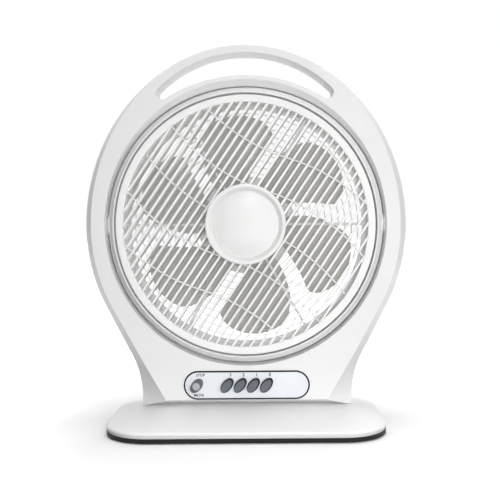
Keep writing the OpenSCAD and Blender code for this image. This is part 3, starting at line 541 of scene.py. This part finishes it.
def base_cover():
    """A rounded rim and a crowned top."""
    b = Build()
    low = TRAY_TOP + 0.1
    rings = [base_ring(d, low + h) for d, h in ((3, 0), (1.6, 0), (1.25, 0.15), (1.1, 0.5))]
    for i in range(RIM_STEPS + 1):
        a = lerp(-15, 78, i / RIM_STEPS)
        rings.append(base_ring(RIM_R * (1 - cosd(a)), RIM_Z - 0.4 - RIM_R + RIM_R * sind(a)))
    for i in range(1, DOME_STEPS + 1):
        d = lerp(RIM_ROUND, DOME_END, i / DOME_STEPS)
        rings.append(base_ring(d, dome_z(d)))
    loops = b.loft(rings)
    b.cap(loops[-1])
    b.make("base_shell", "stand", "white_shell", ("base_cover",), angle=40)


def base_tray():
    """The dark band under the cover."""
    b = Build()
    rows = ((0.9, 1.0), (0.55, 1.1), (0.4, 1.45), (0.4, TRAY_TOP - 0.4), (0.55, TRAY_TOP - 0.1),
            (0.9, TRAY_TOP))
    b.solid([base_ring(d, z) for d, z in rows])
    b.make("base_band", "stand", "dark_plastic", ("base_tray",))


base_cover()
base_tray()


# Head: shroud, louvre, cap, impeller and what is behind them

LOUVRE_R, SHROUD_R, DUCT_R = 175.0, 187.403, 166.0
SHROUD_BACK, LEDGE, LEDGE_BACK = 42.0, -9.0, -6.0    # the ledge lies behind the louvre's ring
LIP_OUT, LIP_FRONT, LIP_BACK, NECK = 183.4, -32.0, -25.5, -17.0
BOSS_SIDES = 64


def angle_at(h, r):
    """The angle, in degrees, at which an arc of radius r reaches h."""
    return math.degrees(math.asin(h / r))


def shroud():
    """The ball-shaped shell with its lip and pivot bosses, and the lining of its duct."""
    inner, wall = LOUVRE_R + 2.2, SHROUD_R - 3.3
    b = Build()
    prof = rounded([(inner, LEDGE, 0), (inner, LIP_FRONT, 0.7), (inner + 1.3, LIP_FRONT, 0.6),
                    (LIP_OUT, LIP_BACK, 1.2), (LIP_OUT, NECK - 1, 0.3), (LIP_OUT + 0.4, NECK, 0)],
                   n=5, closed=False)
    prof += arc(SHROUD_R, angle_at(NECK + 2, SHROUD_R), angle_at(SHROUD_BACK, SHROUD_R), 48)
    prof.append((DUCT_R, SHROUD_BACK))
    b.turn(prof, SIDES, closed=False)
    boss = ((10, 188.0), (16.2, 188.0), (16.8, 187.75), (17, 187.2), (17, 179.0))   # radius, reach
    turns = [k * 360 / BOSS_SIDES for k in range(BOSS_SIDES)]
    for side in (-1, 1):
        loops = b.loft([[(side * x, PIVOT_Y + r * cosd(a), CENTRE_Z + r * sind(a)) for a in turns]
                        for r, x in boss])
        b.cap(loops[0])
    b.make("head_shell", "head", "white_shell", ("fan_shroud",), angle=34)

    b = Build()
    floor, ahead = SHROUD_BACK - 3, LEDGE_BACK + 2
    prof = rounded([(DUCT_R, SHROUD_BACK, 0), (DUCT_R, floor, 0.8),
                    (math.sqrt(wall ** 2 - floor ** 2), floor, 1.5)], closed=False)
    prof += arc(wall, angle_at(floor - 2, wall), angle_at(ahead, wall), 24)
    prof += rounded([(wall, ahead, 0), (wall, LEDGE_BACK, 1.5), (DUCT_R, LEDGE_BACK, 0.8),
                     (DUCT_R, LEDGE, 0.8), (inner, LEDGE, 0)], closed=False)[1:]
    b.turn(prof, SIDES, closed=False)
    # The lining takes the lighter white: painted light over the shade inside the duct.
    b.make("head_duct", "head", "white_grille", material=PAINTED_LIGHT_WHITE, angle=34, inward=True)


SLAT_ANGLE, SLAT_PITCH, SLAT_LEAN = 56.0, 10.1, 6.0
SLAT_T, SLAT_NOSE, SLAT_DEPTH = 1.8, 3.4, 19.0       # thickness behind, at the nose, and depth
LOUVRE_FRONT, RING_IN, HUB_R = -31.0, 164.7, 49.0
SLAT_OUT, SLAT_IN = RING_IN + 1.0, HUB_R - 1.0       # the slats end in the ring and in the hub
RIB_SWING, RIB_WAVE, RIB_PITCH, RIB_HALF = 10.8, LOUVRE_R * 0.857, LOUVRE_R * 0.303, 0.85
RIB_POINTS, RIB_STEP = 160, 1.02                     # points to either side of the middle


def louvre_point(along, across, h):
    """A point given along the slats, across them and in depth."""
    return (along * cosd(SLAT_ANGLE) + across * sind(SLAT_ANGLE), PIVOT_Y + h,
            CENTRE_Z + along * sind(SLAT_ANGLE) - across * cosd(SLAT_ANGLE))


def slats(b):
    """Leaning slats with a rounded nose, cut to the ring and to the hub."""
    lean = math.tan(math.radians(SLAT_LEAN))
    half, tail = SLAT_T / 2, SLAT_DEPTH - 0.4
    section = [(SLAT_NOSE / 2 * sind(a), 1.1 * (1 - cosd(a)))
               for a in (-90, -65, -40, -20, 0, 20, 40, 65, 90)]
    section += [(half, 9), (half, tail), (half - 0.4, SLAT_DEPTH), (0.4 - half, SLAT_DEPTH),
                (-half, tail), (-half, 9)]
    count = 2 * math.ceil(RING_IN / SLAT_PITCH)
    for i in range(count):
        mid = (i - count / 2 + 0.5) * SLAT_PITCH
        rows = [(mid + o + lean * d, LOUVRE_FRONT + d) for o, d in section]
        if max(abs(o) for o, _ in rows) > SLAT_OUT - 1:
            continue

        def end(side, r):
            """The section where the slat meets a circle, on one side of the middle."""
            return [louvre_point(side * math.sqrt(max(0.0, r ** 2 - o * o)), o, h) for o, h in rows]

        if min(abs(o) for o, _ in rows) < SLAT_IN:
            b.solid([end(1, SLAT_IN), end(1, SLAT_OUT)])
            b.solid([end(-1, SLAT_OUT), end(-1, SLAT_IN)])
        else:
            b.solid([end(-1, SLAT_OUT), end(1, SLAT_OUT)])


def rib_path(k):
    """The line of an S-shaped rib: two arcs that swing to opposite sides."""
    big = ((RIB_WAVE / 2) ** 2 + RIB_SWING * RIB_SWING) / (2 * RIB_SWING)
    path = []
    for i in range(-RIB_POINTS, RIB_POINTS + 1):
        y = i * RIB_STEP
        side = 1 if y >= 0 else -1
        bulge = side * math.sqrt(big * big - (y - side * RIB_WAVE / 2) ** 2)
        path.append((k * RIB_PITCH + side * (RIB_SWING - big) + bulge, y))
    return path


def runs_within(path, low, high):
    """The stretches of a path whose radius is between two limits."""
    runs = [[]]
    for p in path:
        if low < math.hypot(*p) < high:
            runs[-1].append(p)
        elif runs[-1]:
            runs.append([])
    return [run for run in runs if len(run) > 1]


def ribs(b):
    w = RIB_HALF
    section = [(-w, 0.1), (-w * 0.6, -0.3), (w * 0.6, -0.3), (w, 0.1), (w, 6), (-w, 6)]
    for k in range(-2, 3):
        for run in runs_within(rib_path(k), SLAT_IN - 1, SLAT_OUT):
            rings = []
            for i, (u, v) in enumerate(run):
                q0, q1 = run[max(0, i - 1)], run[min(len(run) - 1, i + 1)]
                t = Vector((q1[0] - q0[0], q1[1] - q0[1])).normalized()
                rings.append([louvre_point(u - t.y * o, v + t.x * o, LOUVRE_FRONT + d)
                              for o, d in section])
            b.solid(rings)


def louvre():
    b = Build()
    slats(b)
    ribs(b)
    f, back = LOUVRE_FRONT, LOUVRE_FRONT + SLAT_DEPTH + 1
    b.turn(rounded([(LOUVRE_R, f, 1.6), (LOUVRE_R, back, 0.5), (LOUVRE_R - 2, back, 0.5),
                    (LOUVRE_R - 2, f + 3, 0.5), (RING_IN + 2, f + 3, 0.5),
                    (RING_IN + 2, f + 7, 0.5), (RING_IN, f + 7, 0.5), (RING_IN, f, 1.2)]), SIDES)
    b.turn(rounded([(HUB_R, f, 0.4), (HUB_R, f + SLAT_DEPTH, 0.4),
                    (HUB_R - 2, f + SLAT_DEPTH, 0.4), (HUB_R - 2, f + 2.5, 0.4),
                    (3.6, f + 2.5, 0.2), (3.6, f, 0.2)], n=2), 120)
    b.make("louvre_slats", "louvre", "white_grille", ("louvre_grille",), angle=34)


CAP_R, CAP_RIM_W, CAP_RIM_H = 54.0, 4.6, 9.0
CAP_DISH_R, CAP_DISH_H, CAP_DOME, CAP_STEPS = 43.2, 1.0, 10.8, 24


def hub_cap():
    """A raised rim, a groove inside it and a low dome."""
    b = Build()
    base = LOUVRE_FRONT - 0.1
    rim, dish = base - CAP_RIM_H, base - CAP_DISH_H
    step = base - (CAP_DISH_H + 2.8)
    dome_r = (CAP_DISH_R ** 2 + CAP_DOME ** 2) / (2 * CAP_DOME)
    prof = rounded([(CAP_R - 2, base, 0), (CAP_R, base, 0.6), (CAP_R, rim, 1.5),
                    (CAP_R - CAP_RIM_W, rim, 0.9), (CAP_DISH_R + 1.4, dish, 0.3),
                    (CAP_DISH_R + 0.5, dish, 0.3), (CAP_DISH_R, step, 0.7),
                    (CAP_DISH_R - 1.2, step - 0.63, 0)], n=6, closed=False)[:-1]
    centre = step - CAP_DOME + dome_r
    top = angle_at(CAP_DISH_R - 1.2, dome_r)
    for i in range(CAP_STEPS + 1):
        a = lerp(top, 0.02, i / CAP_STEPS)
        prof.append((dome_r * sind(a), centre - dome_r * cosd(a)))
    b.turn(prof, 180, closed=False)
    b.make("centre_cap", "louvre", "white_grille", ("hub_cap",), material=CAP_WHITE, angle=40)


BLADE_R, FAN_HUB_R, BLADES, BLADE_T = 155.0, 40.0, 6, 2.2
BLADE_FRONT, BLADE_BACK, FIRST_BLADE = 9.0, 35.0, -57
CHORD_STEPS, SPAN_STEPS = 20, 40
BLADE_SLIM, BLADE_WIDE = 15, 23.5                    # a blade's half angle at the root, and beyond


def impeller():
    """Six cupped, twisted blades with rounded tips on a hub."""
    b = Build()
    root = FAN_HUB_R - 1.5

    def mid(r):
        """The sweep of the blade's middle line."""
        return -6.5 - 15.5 * min(1, (r / BLADE_R - 0.366) / 0.48)

    def half_at(r):
        """Half of the blade's angle, which opens from the root and closes round the tip."""
        u = max(0, (r / BLADE_R - 0.735) / 0.265)
        g = min(1, max(0, (r - 38) / (0.6 * BLADE_R - 38)))
        tip = math.sqrt(max(0.008, 1 - u ** 2.6))
        return lerp(BLADE_SLIM, BLADE_WIDE, g * (2 - g)) * tip

    def point(r, c, shift, turn):
        """A point at a radius and a share of the chord, moved by half the thickness."""
        k = 2 * c - 1
        half = half_at(r)
        a = k * half - mid(r) + turn
        pitch = k * (BLADE_BACK - BLADE_FRONT) / 2 * min(1, half / BLADE_SLIM) * 0.9
        cup = 4 * (1 - k * k) * half / BLADE_WIDE
        z = (BLADE_FRONT + BLADE_BACK) / 2 + pitch + cup + shift
        return (r * cosd(a), PIVOT_Y + z, CENTRE_Z - r * sind(a))

    def edge(c):
        """How much of the thickness is left near the leading and the trailing edge."""
        return min(1, 0.3 + 12 * c * (1 - c))

    chord = [0.5 - 0.5 * cosd(180 * j / CHORD_STEPS) for j in range(CHORD_STEPS + 1)]
    for i in range(BLADES):
        turn = FIRST_BLADE + 60 * i
        rings = []
        for k in range(SPAN_STEPS + 1):
            r = root + (BLADE_R - root) * sind(90 * k / SPAN_STEPS)
            thick = BLADE_T / 2 * min(1, 0.25 + 6 * (1 - k / SPAN_STEPS))
            loop = [point(r, c, -thick * edge(c), turn) for c in chord]
            loop += [point(r, c, thick * edge(c), turn) for c in chord[::-1]]
            rings.append(loop)
        loops = b.loft(rings)
        for loop in (loops[0], loops[-1]):
            n = len(loop)
            for j in range(n // 2 - 1):
                b.cap((loop[j], loop[j + 1], loop[n - 2 - j], loop[n - 1 - j]))
    b.turn(rounded([(4.1, 6, 0.3), (FAN_HUB_R, 6, 3.0), (FAN_HUB_R, 36, 0.5),
                    (FAN_HUB_R - 3, 36, 0.5), (FAN_HUB_R - 3, 9, 1.0), (9, 9, 1.0), (9, 28, 0.4),
                    (4.1, 28, 0.3)], n=5), 120)
    b.make("impeller", "fan", "warm_grey_blade", ("fan_blade",), angle=40)


GUARD_OUT, GUARD_HUB, GUARD_RINGS, GUARD_ARMS = 180.67, 70.0, 10, 6


def rear_guard():
    """Thin rings between an outer ring and a hub, on six arms."""
    b = Build()
    z = SHROUD_BACK
    b.turn(rounded([(DUCT_R, z + 0.1, 0.4), (GUARD_OUT, z + 0.1, 0.3), (GUARD_OUT, z + 3, 1.2),
                    (DUCT_R, z + 3, 0.8)]), SIDES)
    b.turn(rounded([(32, z, 0.4), (GUARD_HUB, z, 0.4), (GUARD_HUB, z + 3, 0.8), (32, z + 3, 0.4)]),
           144)
    for i in range(GUARD_RINGS):
        r = GUARD_HUB + 6 + (DUCT_R - GUARD_HUB - 2) / GUARD_RINGS * i
        b.turn(rounded([(r - 0.6, z + 1, 0.5), (r + 0.6, z + 1, 0.5), (r + 0.6, z + 5, 0.5),
                        (r - 0.6, z + 5, 0.5)], n=3), 192)
    section = rounded([(-1.5, z + 0.5, 0.8), (1.5, z + 0.5, 0.8), (1.5, z + 6, 1.0),
                       (-1.5, z + 6, 1.0)], n=3)
    for k in range(GUARD_ARMS):
        b.solid([[radial(r, o, 60 * k, h) for o, h in section]
                 for r in (GUARD_HUB - 2, DUCT_R + 1)])
    # The guard takes the lighter white: painted light over the shade it lies in behind the blades.
    b.make("rear_guard", "head", "white_grille", ("rear_grille",), material=PAINTED_LIGHT_WHITE, angle=34)


MOTOR_R, MOTOR_FLAT, MOTOR_FRONT, MOTOR_BACK, MOTOR_WALL = 60.0, 50.0, 45.1, 80.0, 2.2
MOTOR_SIDES, VENTS, VENT_R, LUG_AT = 180, 10, 1.5, 64.2


def motor_dome():
    """The motor's cover, with ten slots in its back and three screw lugs."""
    b = Build()
    r, flat, front, back, wall = MOTOR_R, MOTOR_FLAT, MOTOR_FRONT, MOTOR_BACK, MOTOR_WALL
    side = rounded([(r - wall, back - 9, 0), (r - wall, front, 0.2), (r, front, 0.4),
                    (r, back - 8, 4.0), (r - 8, back, 2.2), (flat, back, 0)], n=6, closed=False)
    b.turn(side, MOTOR_SIDES, closed=False)
    loops = [b.add([radial(flat, 0, 360 * i / MOTOR_SIDES, back) for i in range(MOTOR_SIDES)])]
    vent = []
    for at, start in ((42.5, -90), (19.5, 90)):
        turns = [start + 18 * i for i in range(11)]
        vent += [(at + VENT_R * cosd(a), VENT_R * sind(a)) for a in turns]
    for k in range(VENTS):
        rings = [[radial(u, v, 36 * k, h) for u, v in vent] for h in (back, back - wall)]
        loops.append(b.loft(rings)[0])
    b.fill(loops)
    lug = ((1.8, 51.1), (4.0, 51.1), (4.5, 50.6), (4.6, 50.0), (4.6, front))
    for k in range(3):
        a = -75 - 120 * k
        x, z = LUG_AT * cosd(a), CENTRE_Z + LUG_AT * sind(a)
        b.loft([circle(q, PIVOT_Y + h, x, z, 40) for q, h in lug])
    b.make("motor_dome", "head", "white_shell", ("motor_cover",), angle=34)


def gland():
    """The bush where a cord would leave the column."""
    b = Build()
    rings = ((4.0, 30.0), (4.0, 48.6), (4.4, 49.0), (6.0, 49.0), (6.4, 48.7), (6.6, 48.0),
             (7.2, 47.8), (8.4, 47.8), (8.9, 47.5), (9.0, 46.9), (9.0, 46.1))
    b.loft([circle(r, y, 0, PANEL_Z, 64) for r, y in rings])
    b.make("cord_bush", "stand", "dark_plastic", ("cord_gland",), angle=40)


shroud()
louvre()
hub_cap()
impeller()
rear_guard()
motor_dome()
gland()


# Controls

PROUD, RIM_W = 0.8, 1.9                    # how far the panel stands out, and its rim's width
PANEL_FRONT = FACE_Y - PROUD
PLATE_Y = PANEL_FRONT + 0.2
KEY_PITCH, KEY_LEAN, KEY_A, KEY_B, KEY_REACH = 17.7, 50, 11, 6.5, 7.5
KNOB_X, GRIP_A, GRIP_B, KNOB_RIBS = -67.5, 10.6, 6.9, 24
FACE_LEFT_FOR_SHADE, FACE_DOWN_FOR_SHADE = 0.7, 0.15           # how far a key's face is set off its skirt; the dark skirt left showing at the upper right is painted shade


def key_x(i):
    return (i - 1.5) * KEY_PITCH


def leaning_oval(x, a, b, y, n):
    out = []
    for k in range(n):
        t = 360 * k / n
        u, v = a * cosd(t), b * sind(t)
        out.append((x + u * cosd(KEY_LEAN) - v * sind(KEY_LEAN), y,
                    PANEL_Z + u * sind(KEY_LEAN) + v * cosd(KEY_LEAN)))
    return out


def key_oval(i, grow, y):
    return leaning_oval(key_x(i), KEY_A + grow, KEY_B + grow, y, 64)


def panel():
    """The dark rim, and the silver plate in it with holes for the keys and the knob."""
    b = Build()
    w, f = RIM_W, PANEL_FRONT
    rings = ((0, FACE_Y + 2.9), (0, f + 0.5), (0.15, f + 0.15), (0.5, f), (w - 0.4, f),
             (w - 0.1, f + 0.1), (w, f + 0.4), (w, f + 1.3))
    b.loft([stadium(d, y) for d, y in rings])
    b.make("panel_rim", "stand", "dark_plastic", ("panel_bezel",), angle=50)

    b = Build()
    w, f = RIM_W + 0.05, PLATE_Y
    plate = b.loft([stadium(w + d, y) for d, y in ((0, f + 1), (0, f + 0.25), (0.25, f))])
    holes = [[key_oval(i, 0.4, y) for y in (f, f + 1)] for i in range(4)]
    holes.append([circle(5.1, y, KNOB_X, PANEL_Z, 48) for y in (f, f + 1)])
    b.fill([plate[-1]] + [b.loft(rings)[0] for rings in holes])
    b.make("panel_face", "stand", "silver_panel", ("panel_plate",), angle=30, weighted=True)


def buttons():
    """Each key has a dark skirt and a dished face set a little to the lower left, so that a
    crescent of the dark skirt shows as painted shade at the upper right.
    """
    for i, name in enumerate(("button_3", "button_2", "button_1", "button_0")):
        f = FACE_Y - KEY_REACH
        b = Build()
        rings = [key_oval(i, 0, FACE_Y + 6.5), key_oval(i, 0, f + 2.2)]
        rings += [key_oval(i, -0.9 * (1 - cosd(a)), f + 2.2 - 1.2 * sind(a)) for a in QUARTER]
        b.solid(rings + [key_oval(i, -2.6, f + 1.0)])
        x = key_x(i)
        stem = [(x + u, PANEL_Z + v) for u, v in ((-4, -2), (4, -2), (4, 2), (-4, 2))]
        b.solid([[(u, y, v) for u, v in stem] for y in (FACE_Y + 6.4, FACE_Y + 18)])
        b.make("key_skirt_" + name[-1], name, "dark_plastic", angle=40)

        # The face is moved off the skirt's middle, which leaves painted shade on the skirt's upper
        # right.
        def face(shrink, y):
            return [(px - FACE_LEFT_FOR_SHADE, py, pz - FACE_DOWN_FOR_SHADE)
                    for px, py, pz in key_oval(i, -shrink, y)]

        b = Build()
        rings = [face(1.2, f + 1.4), face(1.2, f + 0.7)]
        rings += [face(1.2 + 0.7 * (1 - cosd(a)), f + 0.7 - 0.7 * sind(a)) for a in QUARTER]
        rings += [face(d, f + 0.9 * (1 - ((6.4 - d) / 4.5) ** 2))
                  for d in (2.5, 3.4, 4.3, 5.3, 6.2)]
        b.solid(rings)
        b.make("key_" + name[-1], name, "slate_button", (name,), angle=40)


def knob():
    """A silver skirt, an oval grip and a round, finely ribbed top with its shaft."""
    def ring(r, y, n=72, ribbing=0.0):
        out = []
        for k in range(n):
            a = 2 * math.pi * k / n
            q = r + ribbing * math.cos(KNOB_RIBS * 2 * math.pi * k / n)
            out.append((KNOB_X + q * math.cos(a), y, PANEL_Z + q * math.sin(a)))
        return out

    def lobe(grow, y):
        return leaning_oval(KNOB_X, GRIP_A + grow, GRIP_B + grow, y, 96)

    back = PANEL_FRONT - 0.5
    b = Build()
    skirt = ((9, 0), (11.2, 0), (11.5, 0.2), (11.5, 0.8), (11.3, 1.0), (9, 1.1))
    b.solid([ring(r, back - h) for r, h in skirt])
    b.make("knob_skirt", "knob", "silver_panel", angle=50)

    b = Build()
    f = back - 1.1
    loops = b.loft([lobe(0.3, f + 0.1), lobe(0.3, f - 0.3), lobe(0, f - 0.6), lobe(-0.4, f - 4.4),
                    lobe(-0.8, f - 5.1), lobe(-1.6, f - 5.5)])
    b.cap(loops[-1])
    b.make("knob_grip", "knob", "dark_plastic", material=KNOB_SKIRT, angle=40)

    b = Build()
    f -= 5.5
    rows = ((5.2, -0.5, 0.0), (5.2, 1.0, 0.12), (5.1, 2.0, 0.12), (4.8, 2.6, 0.03), (4.2, 3.0, 0.0),
            (2.5, 3.25, 0.0), (0.4, 3.3, 0.0))
    loops = b.loft([ring(r, f - h, 192, ribbing) for r, h, ribbing in rows])
    b.cap(loops[-1])
    b.solid([ring(3, y, 32) for y in (back - 0.6, FACE_Y + 16.5)])
    b.make("knob_top", "knob", "silver_panel", ("louvre_knob",), material=SILVER, angle=40)


def words(text, x, z, size, name):
    """Printed letters on the plate, as a thin mesh."""
    curve = bpy.data.curves.new(name, "FONT")
    curve.body = text
    curve.size = size * MM
    curve.align_x = "CENTER"
    curve.align_y = "CENTER"
    curve.extrude = 0.00004
    curve.offset = 0.00011      # bolder strokes
    tmp = bpy.data.objects.new(name + "_curve", curve)
    bpy.context.scene.collection.objects.link(tmp)
    bpy.context.view_layer.update()
    shown = tmp.evaluated_get(bpy.context.evaluated_depsgraph_get())
    mesh = bpy.data.meshes.new_from_object(shown)
    bpy.data.objects.remove(tmp)
    place = Matrix.Translation((x * MM, (PLATE_Y - 0.03) * MM, z * MM))
    mesh.transform(place @ Matrix.Rotation(math.pi / 2, 4, "X"))
    ob = bpy.data.objects.new(name, mesh)
    bpy.context.scene.collection.objects.link(ob)
    mesh.materials.clear()
    mesh.materials.append(INK)
    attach(ob, "stand")


panel()
buttons()
knob()
for i, digit in enumerate("3210"):
    words(digit, key_x(i) + 4.6, PANEL_Z + 14.0, 6.2, "figure_" + digit)
words("STOP", -62.5, PANEL_Z + 13.6, 5.0, "word_stop")
words("MOVE", -64.5, PANEL_Z - 13.4, 5.0, "word_move")


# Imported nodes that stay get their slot's material

slot_of = {s["node"]: s["material_slot"] for s in frame["record"]["subparts"]}
for name, ob in nodes.items():
    if not ob.hide_render:
        ob.data.materials.clear()
        ob.data.materials.append(MATS[slot_of[name]])


# Floor, light and camera, in metres

WHITE = (1, 1, 1, 1)


def seen_rays(tree):
    """1 for rays from the camera and for those that mirror or pass on what it sees."""
    path = node(tree, "ShaderNodeLightPath")
    most = node(tree, "ShaderNodeMath", operation="MAXIMUM")
    more = node(tree, "ShaderNodeMath", operation="MAXIMUM")
    tree.links.new(path.outputs["Is Camera Ray"], most.inputs[0])
    tree.links.new(path.outputs["Is Glossy Ray"], most.inputs[1])
    tree.links.new(most.outputs[0], more.inputs[0])
    tree.links.new(path.outputs["Is Transmission Ray"], more.inputs[1])
    return more.outputs[0]


def pick_shader(tree, out, other, seen):
    """Gives the output one shader for the rays that show it and another for the rest."""
    pick = node(tree, "ShaderNodeMixShader")
    tree.links.new(seen_rays(tree), pick.inputs[0])
    tree.links.new(other.outputs[0], pick.inputs[1])
    tree.links.new(seen.outputs[0], pick.inputs[2])
    tree.links.new(pick.outputs[0], out.inputs[0])


def stage_floor():
    """A pale floor that keeps the shadow near the object and fades to white further off."""
    bpy.ops.mesh.primitive_plane_add(size=40, location=(0, 0, 0))
    floor = bpy.context.object
    floor.name = "floor"
    mat = bpy.data.materials.new("floor")
    mat.use_nodes = True
    tree = mat.node_tree
    tree.nodes.clear()
    link = tree.links.new
    out = node(tree, "ShaderNodeOutputMaterial")
    place = node(tree, "ShaderNodeNewGeometry")
    away = node(tree, "ShaderNodeVectorMath", operation="LENGTH")
    fade = map_range(tree, 0.19, 0.6, 0.04, 1.0, interpolation_type="SMOOTHSTEP")
    pale = node(tree, "ShaderNodeBsdfDiffuse", Color=(0.88, 0.88, 0.88, 1))
    glow = node(tree, "ShaderNodeEmission", Color=WHITE)
    both = node(tree, "ShaderNodeAddShader")
    plain = node(tree, "ShaderNodeBsdfDiffuse", Color=(0.15, 0.15, 0.15, 1))
    link(place.outputs["Position"], away.inputs[0])
    link(away.outputs["Value"], fade.inputs["Value"])
    link(fade.outputs["Result"], glow.inputs["Strength"])
    link(pale.outputs[0], both.inputs[0])
    link(glow.outputs[0], both.inputs[1])
    pick_shader(tree, out, plain, both)
    floor.data.materials.append(mat)


def world_light():
    """White where it is seen, and a soft light that grows from the front to the back."""
    world = bpy.data.worlds.new("studio")
    bpy.context.scene.world = world
    world.use_nodes = True
    tree = world.node_tree
    tree.nodes.clear()
    link = tree.links.new
    out = node(tree, "ShaderNodeOutputWorld")
    soft = node(tree, "ShaderNodeBackground", Color=WHITE)
    place = node(tree, "ShaderNodeTexCoord")
    split = node(tree, "ShaderNodeSeparateXYZ")
    level = map_range(tree, -0.4, 0.4, 0.12, 0.64, interpolation_type="SMOOTHSTEP")
    link(place.outputs["Generated"], split.inputs[0])
    link(split.outputs["Y"], level.inputs["Value"])
    link(level.outputs["Result"], soft.inputs["Strength"])
    pick_shader(tree, out, soft, node(tree, "ShaderNodeBackground", Color=WHITE, Strength=1.0))


def lamp(name, place, aim_z, size, watts, mirrored=True):
    """A square lamp aimed at a height on the object's axis."""
    data = bpy.data.lights.new(name, "AREA")
    data.energy = watts
    data.shape = "RECTANGLE"
    data.size = size
    data.size_y = size
    ob = bpy.data.objects.new(name, data)
    ob.location = place
    aim = Vector((0, 0, aim_z)) - Vector(place)
    ob.rotation_euler = aim.to_track_quat("-Z", "Y").to_euler()
    bpy.context.scene.collection.objects.link(ob)
    ob.visible_camera = False
    ob.visible_glossy = mirrored


def photo_camera():
    data = bpy.data.cameras.new("camera")
    cam = bpy.data.objects.new("camera", data)
    bpy.context.scene.collection.objects.link(cam)
    bpy.context.scene.camera = cam
    data.sensor_width = 36.0
    data.lens = 53.35
    data.shift_x, data.shift_y = -0.024, -0.018
    cam.location = (0.022, -1.006, 0.2595)
    cam.rotation_mode = "XYZ"
    cam.rotation_euler = (math.radians(90), math.radians(0.4), 0)


stage_floor()
world_light()
lamp("front", (0.05, -1.02, 0.27), 0.28, 0.12, 5.9, mirrored=False)
lamp("key", (0.3, -1.0, 1.7), 0.27, 0.6, 5.0)
lamp("side", (0.7, -0.95, 0.12), 0.27, 0.35, 4.8, mirrored=False)
lamp("over", (0.0, 0.0, 3.0), 0.2, 1.4, 33)
lamp("rear", (0.5, 1.5, 1.1), 0.27, 0.9, 9.5, mirrored=False)
photo_camera()
bpy.context.scene.view_settings.view_transform = "Standard"
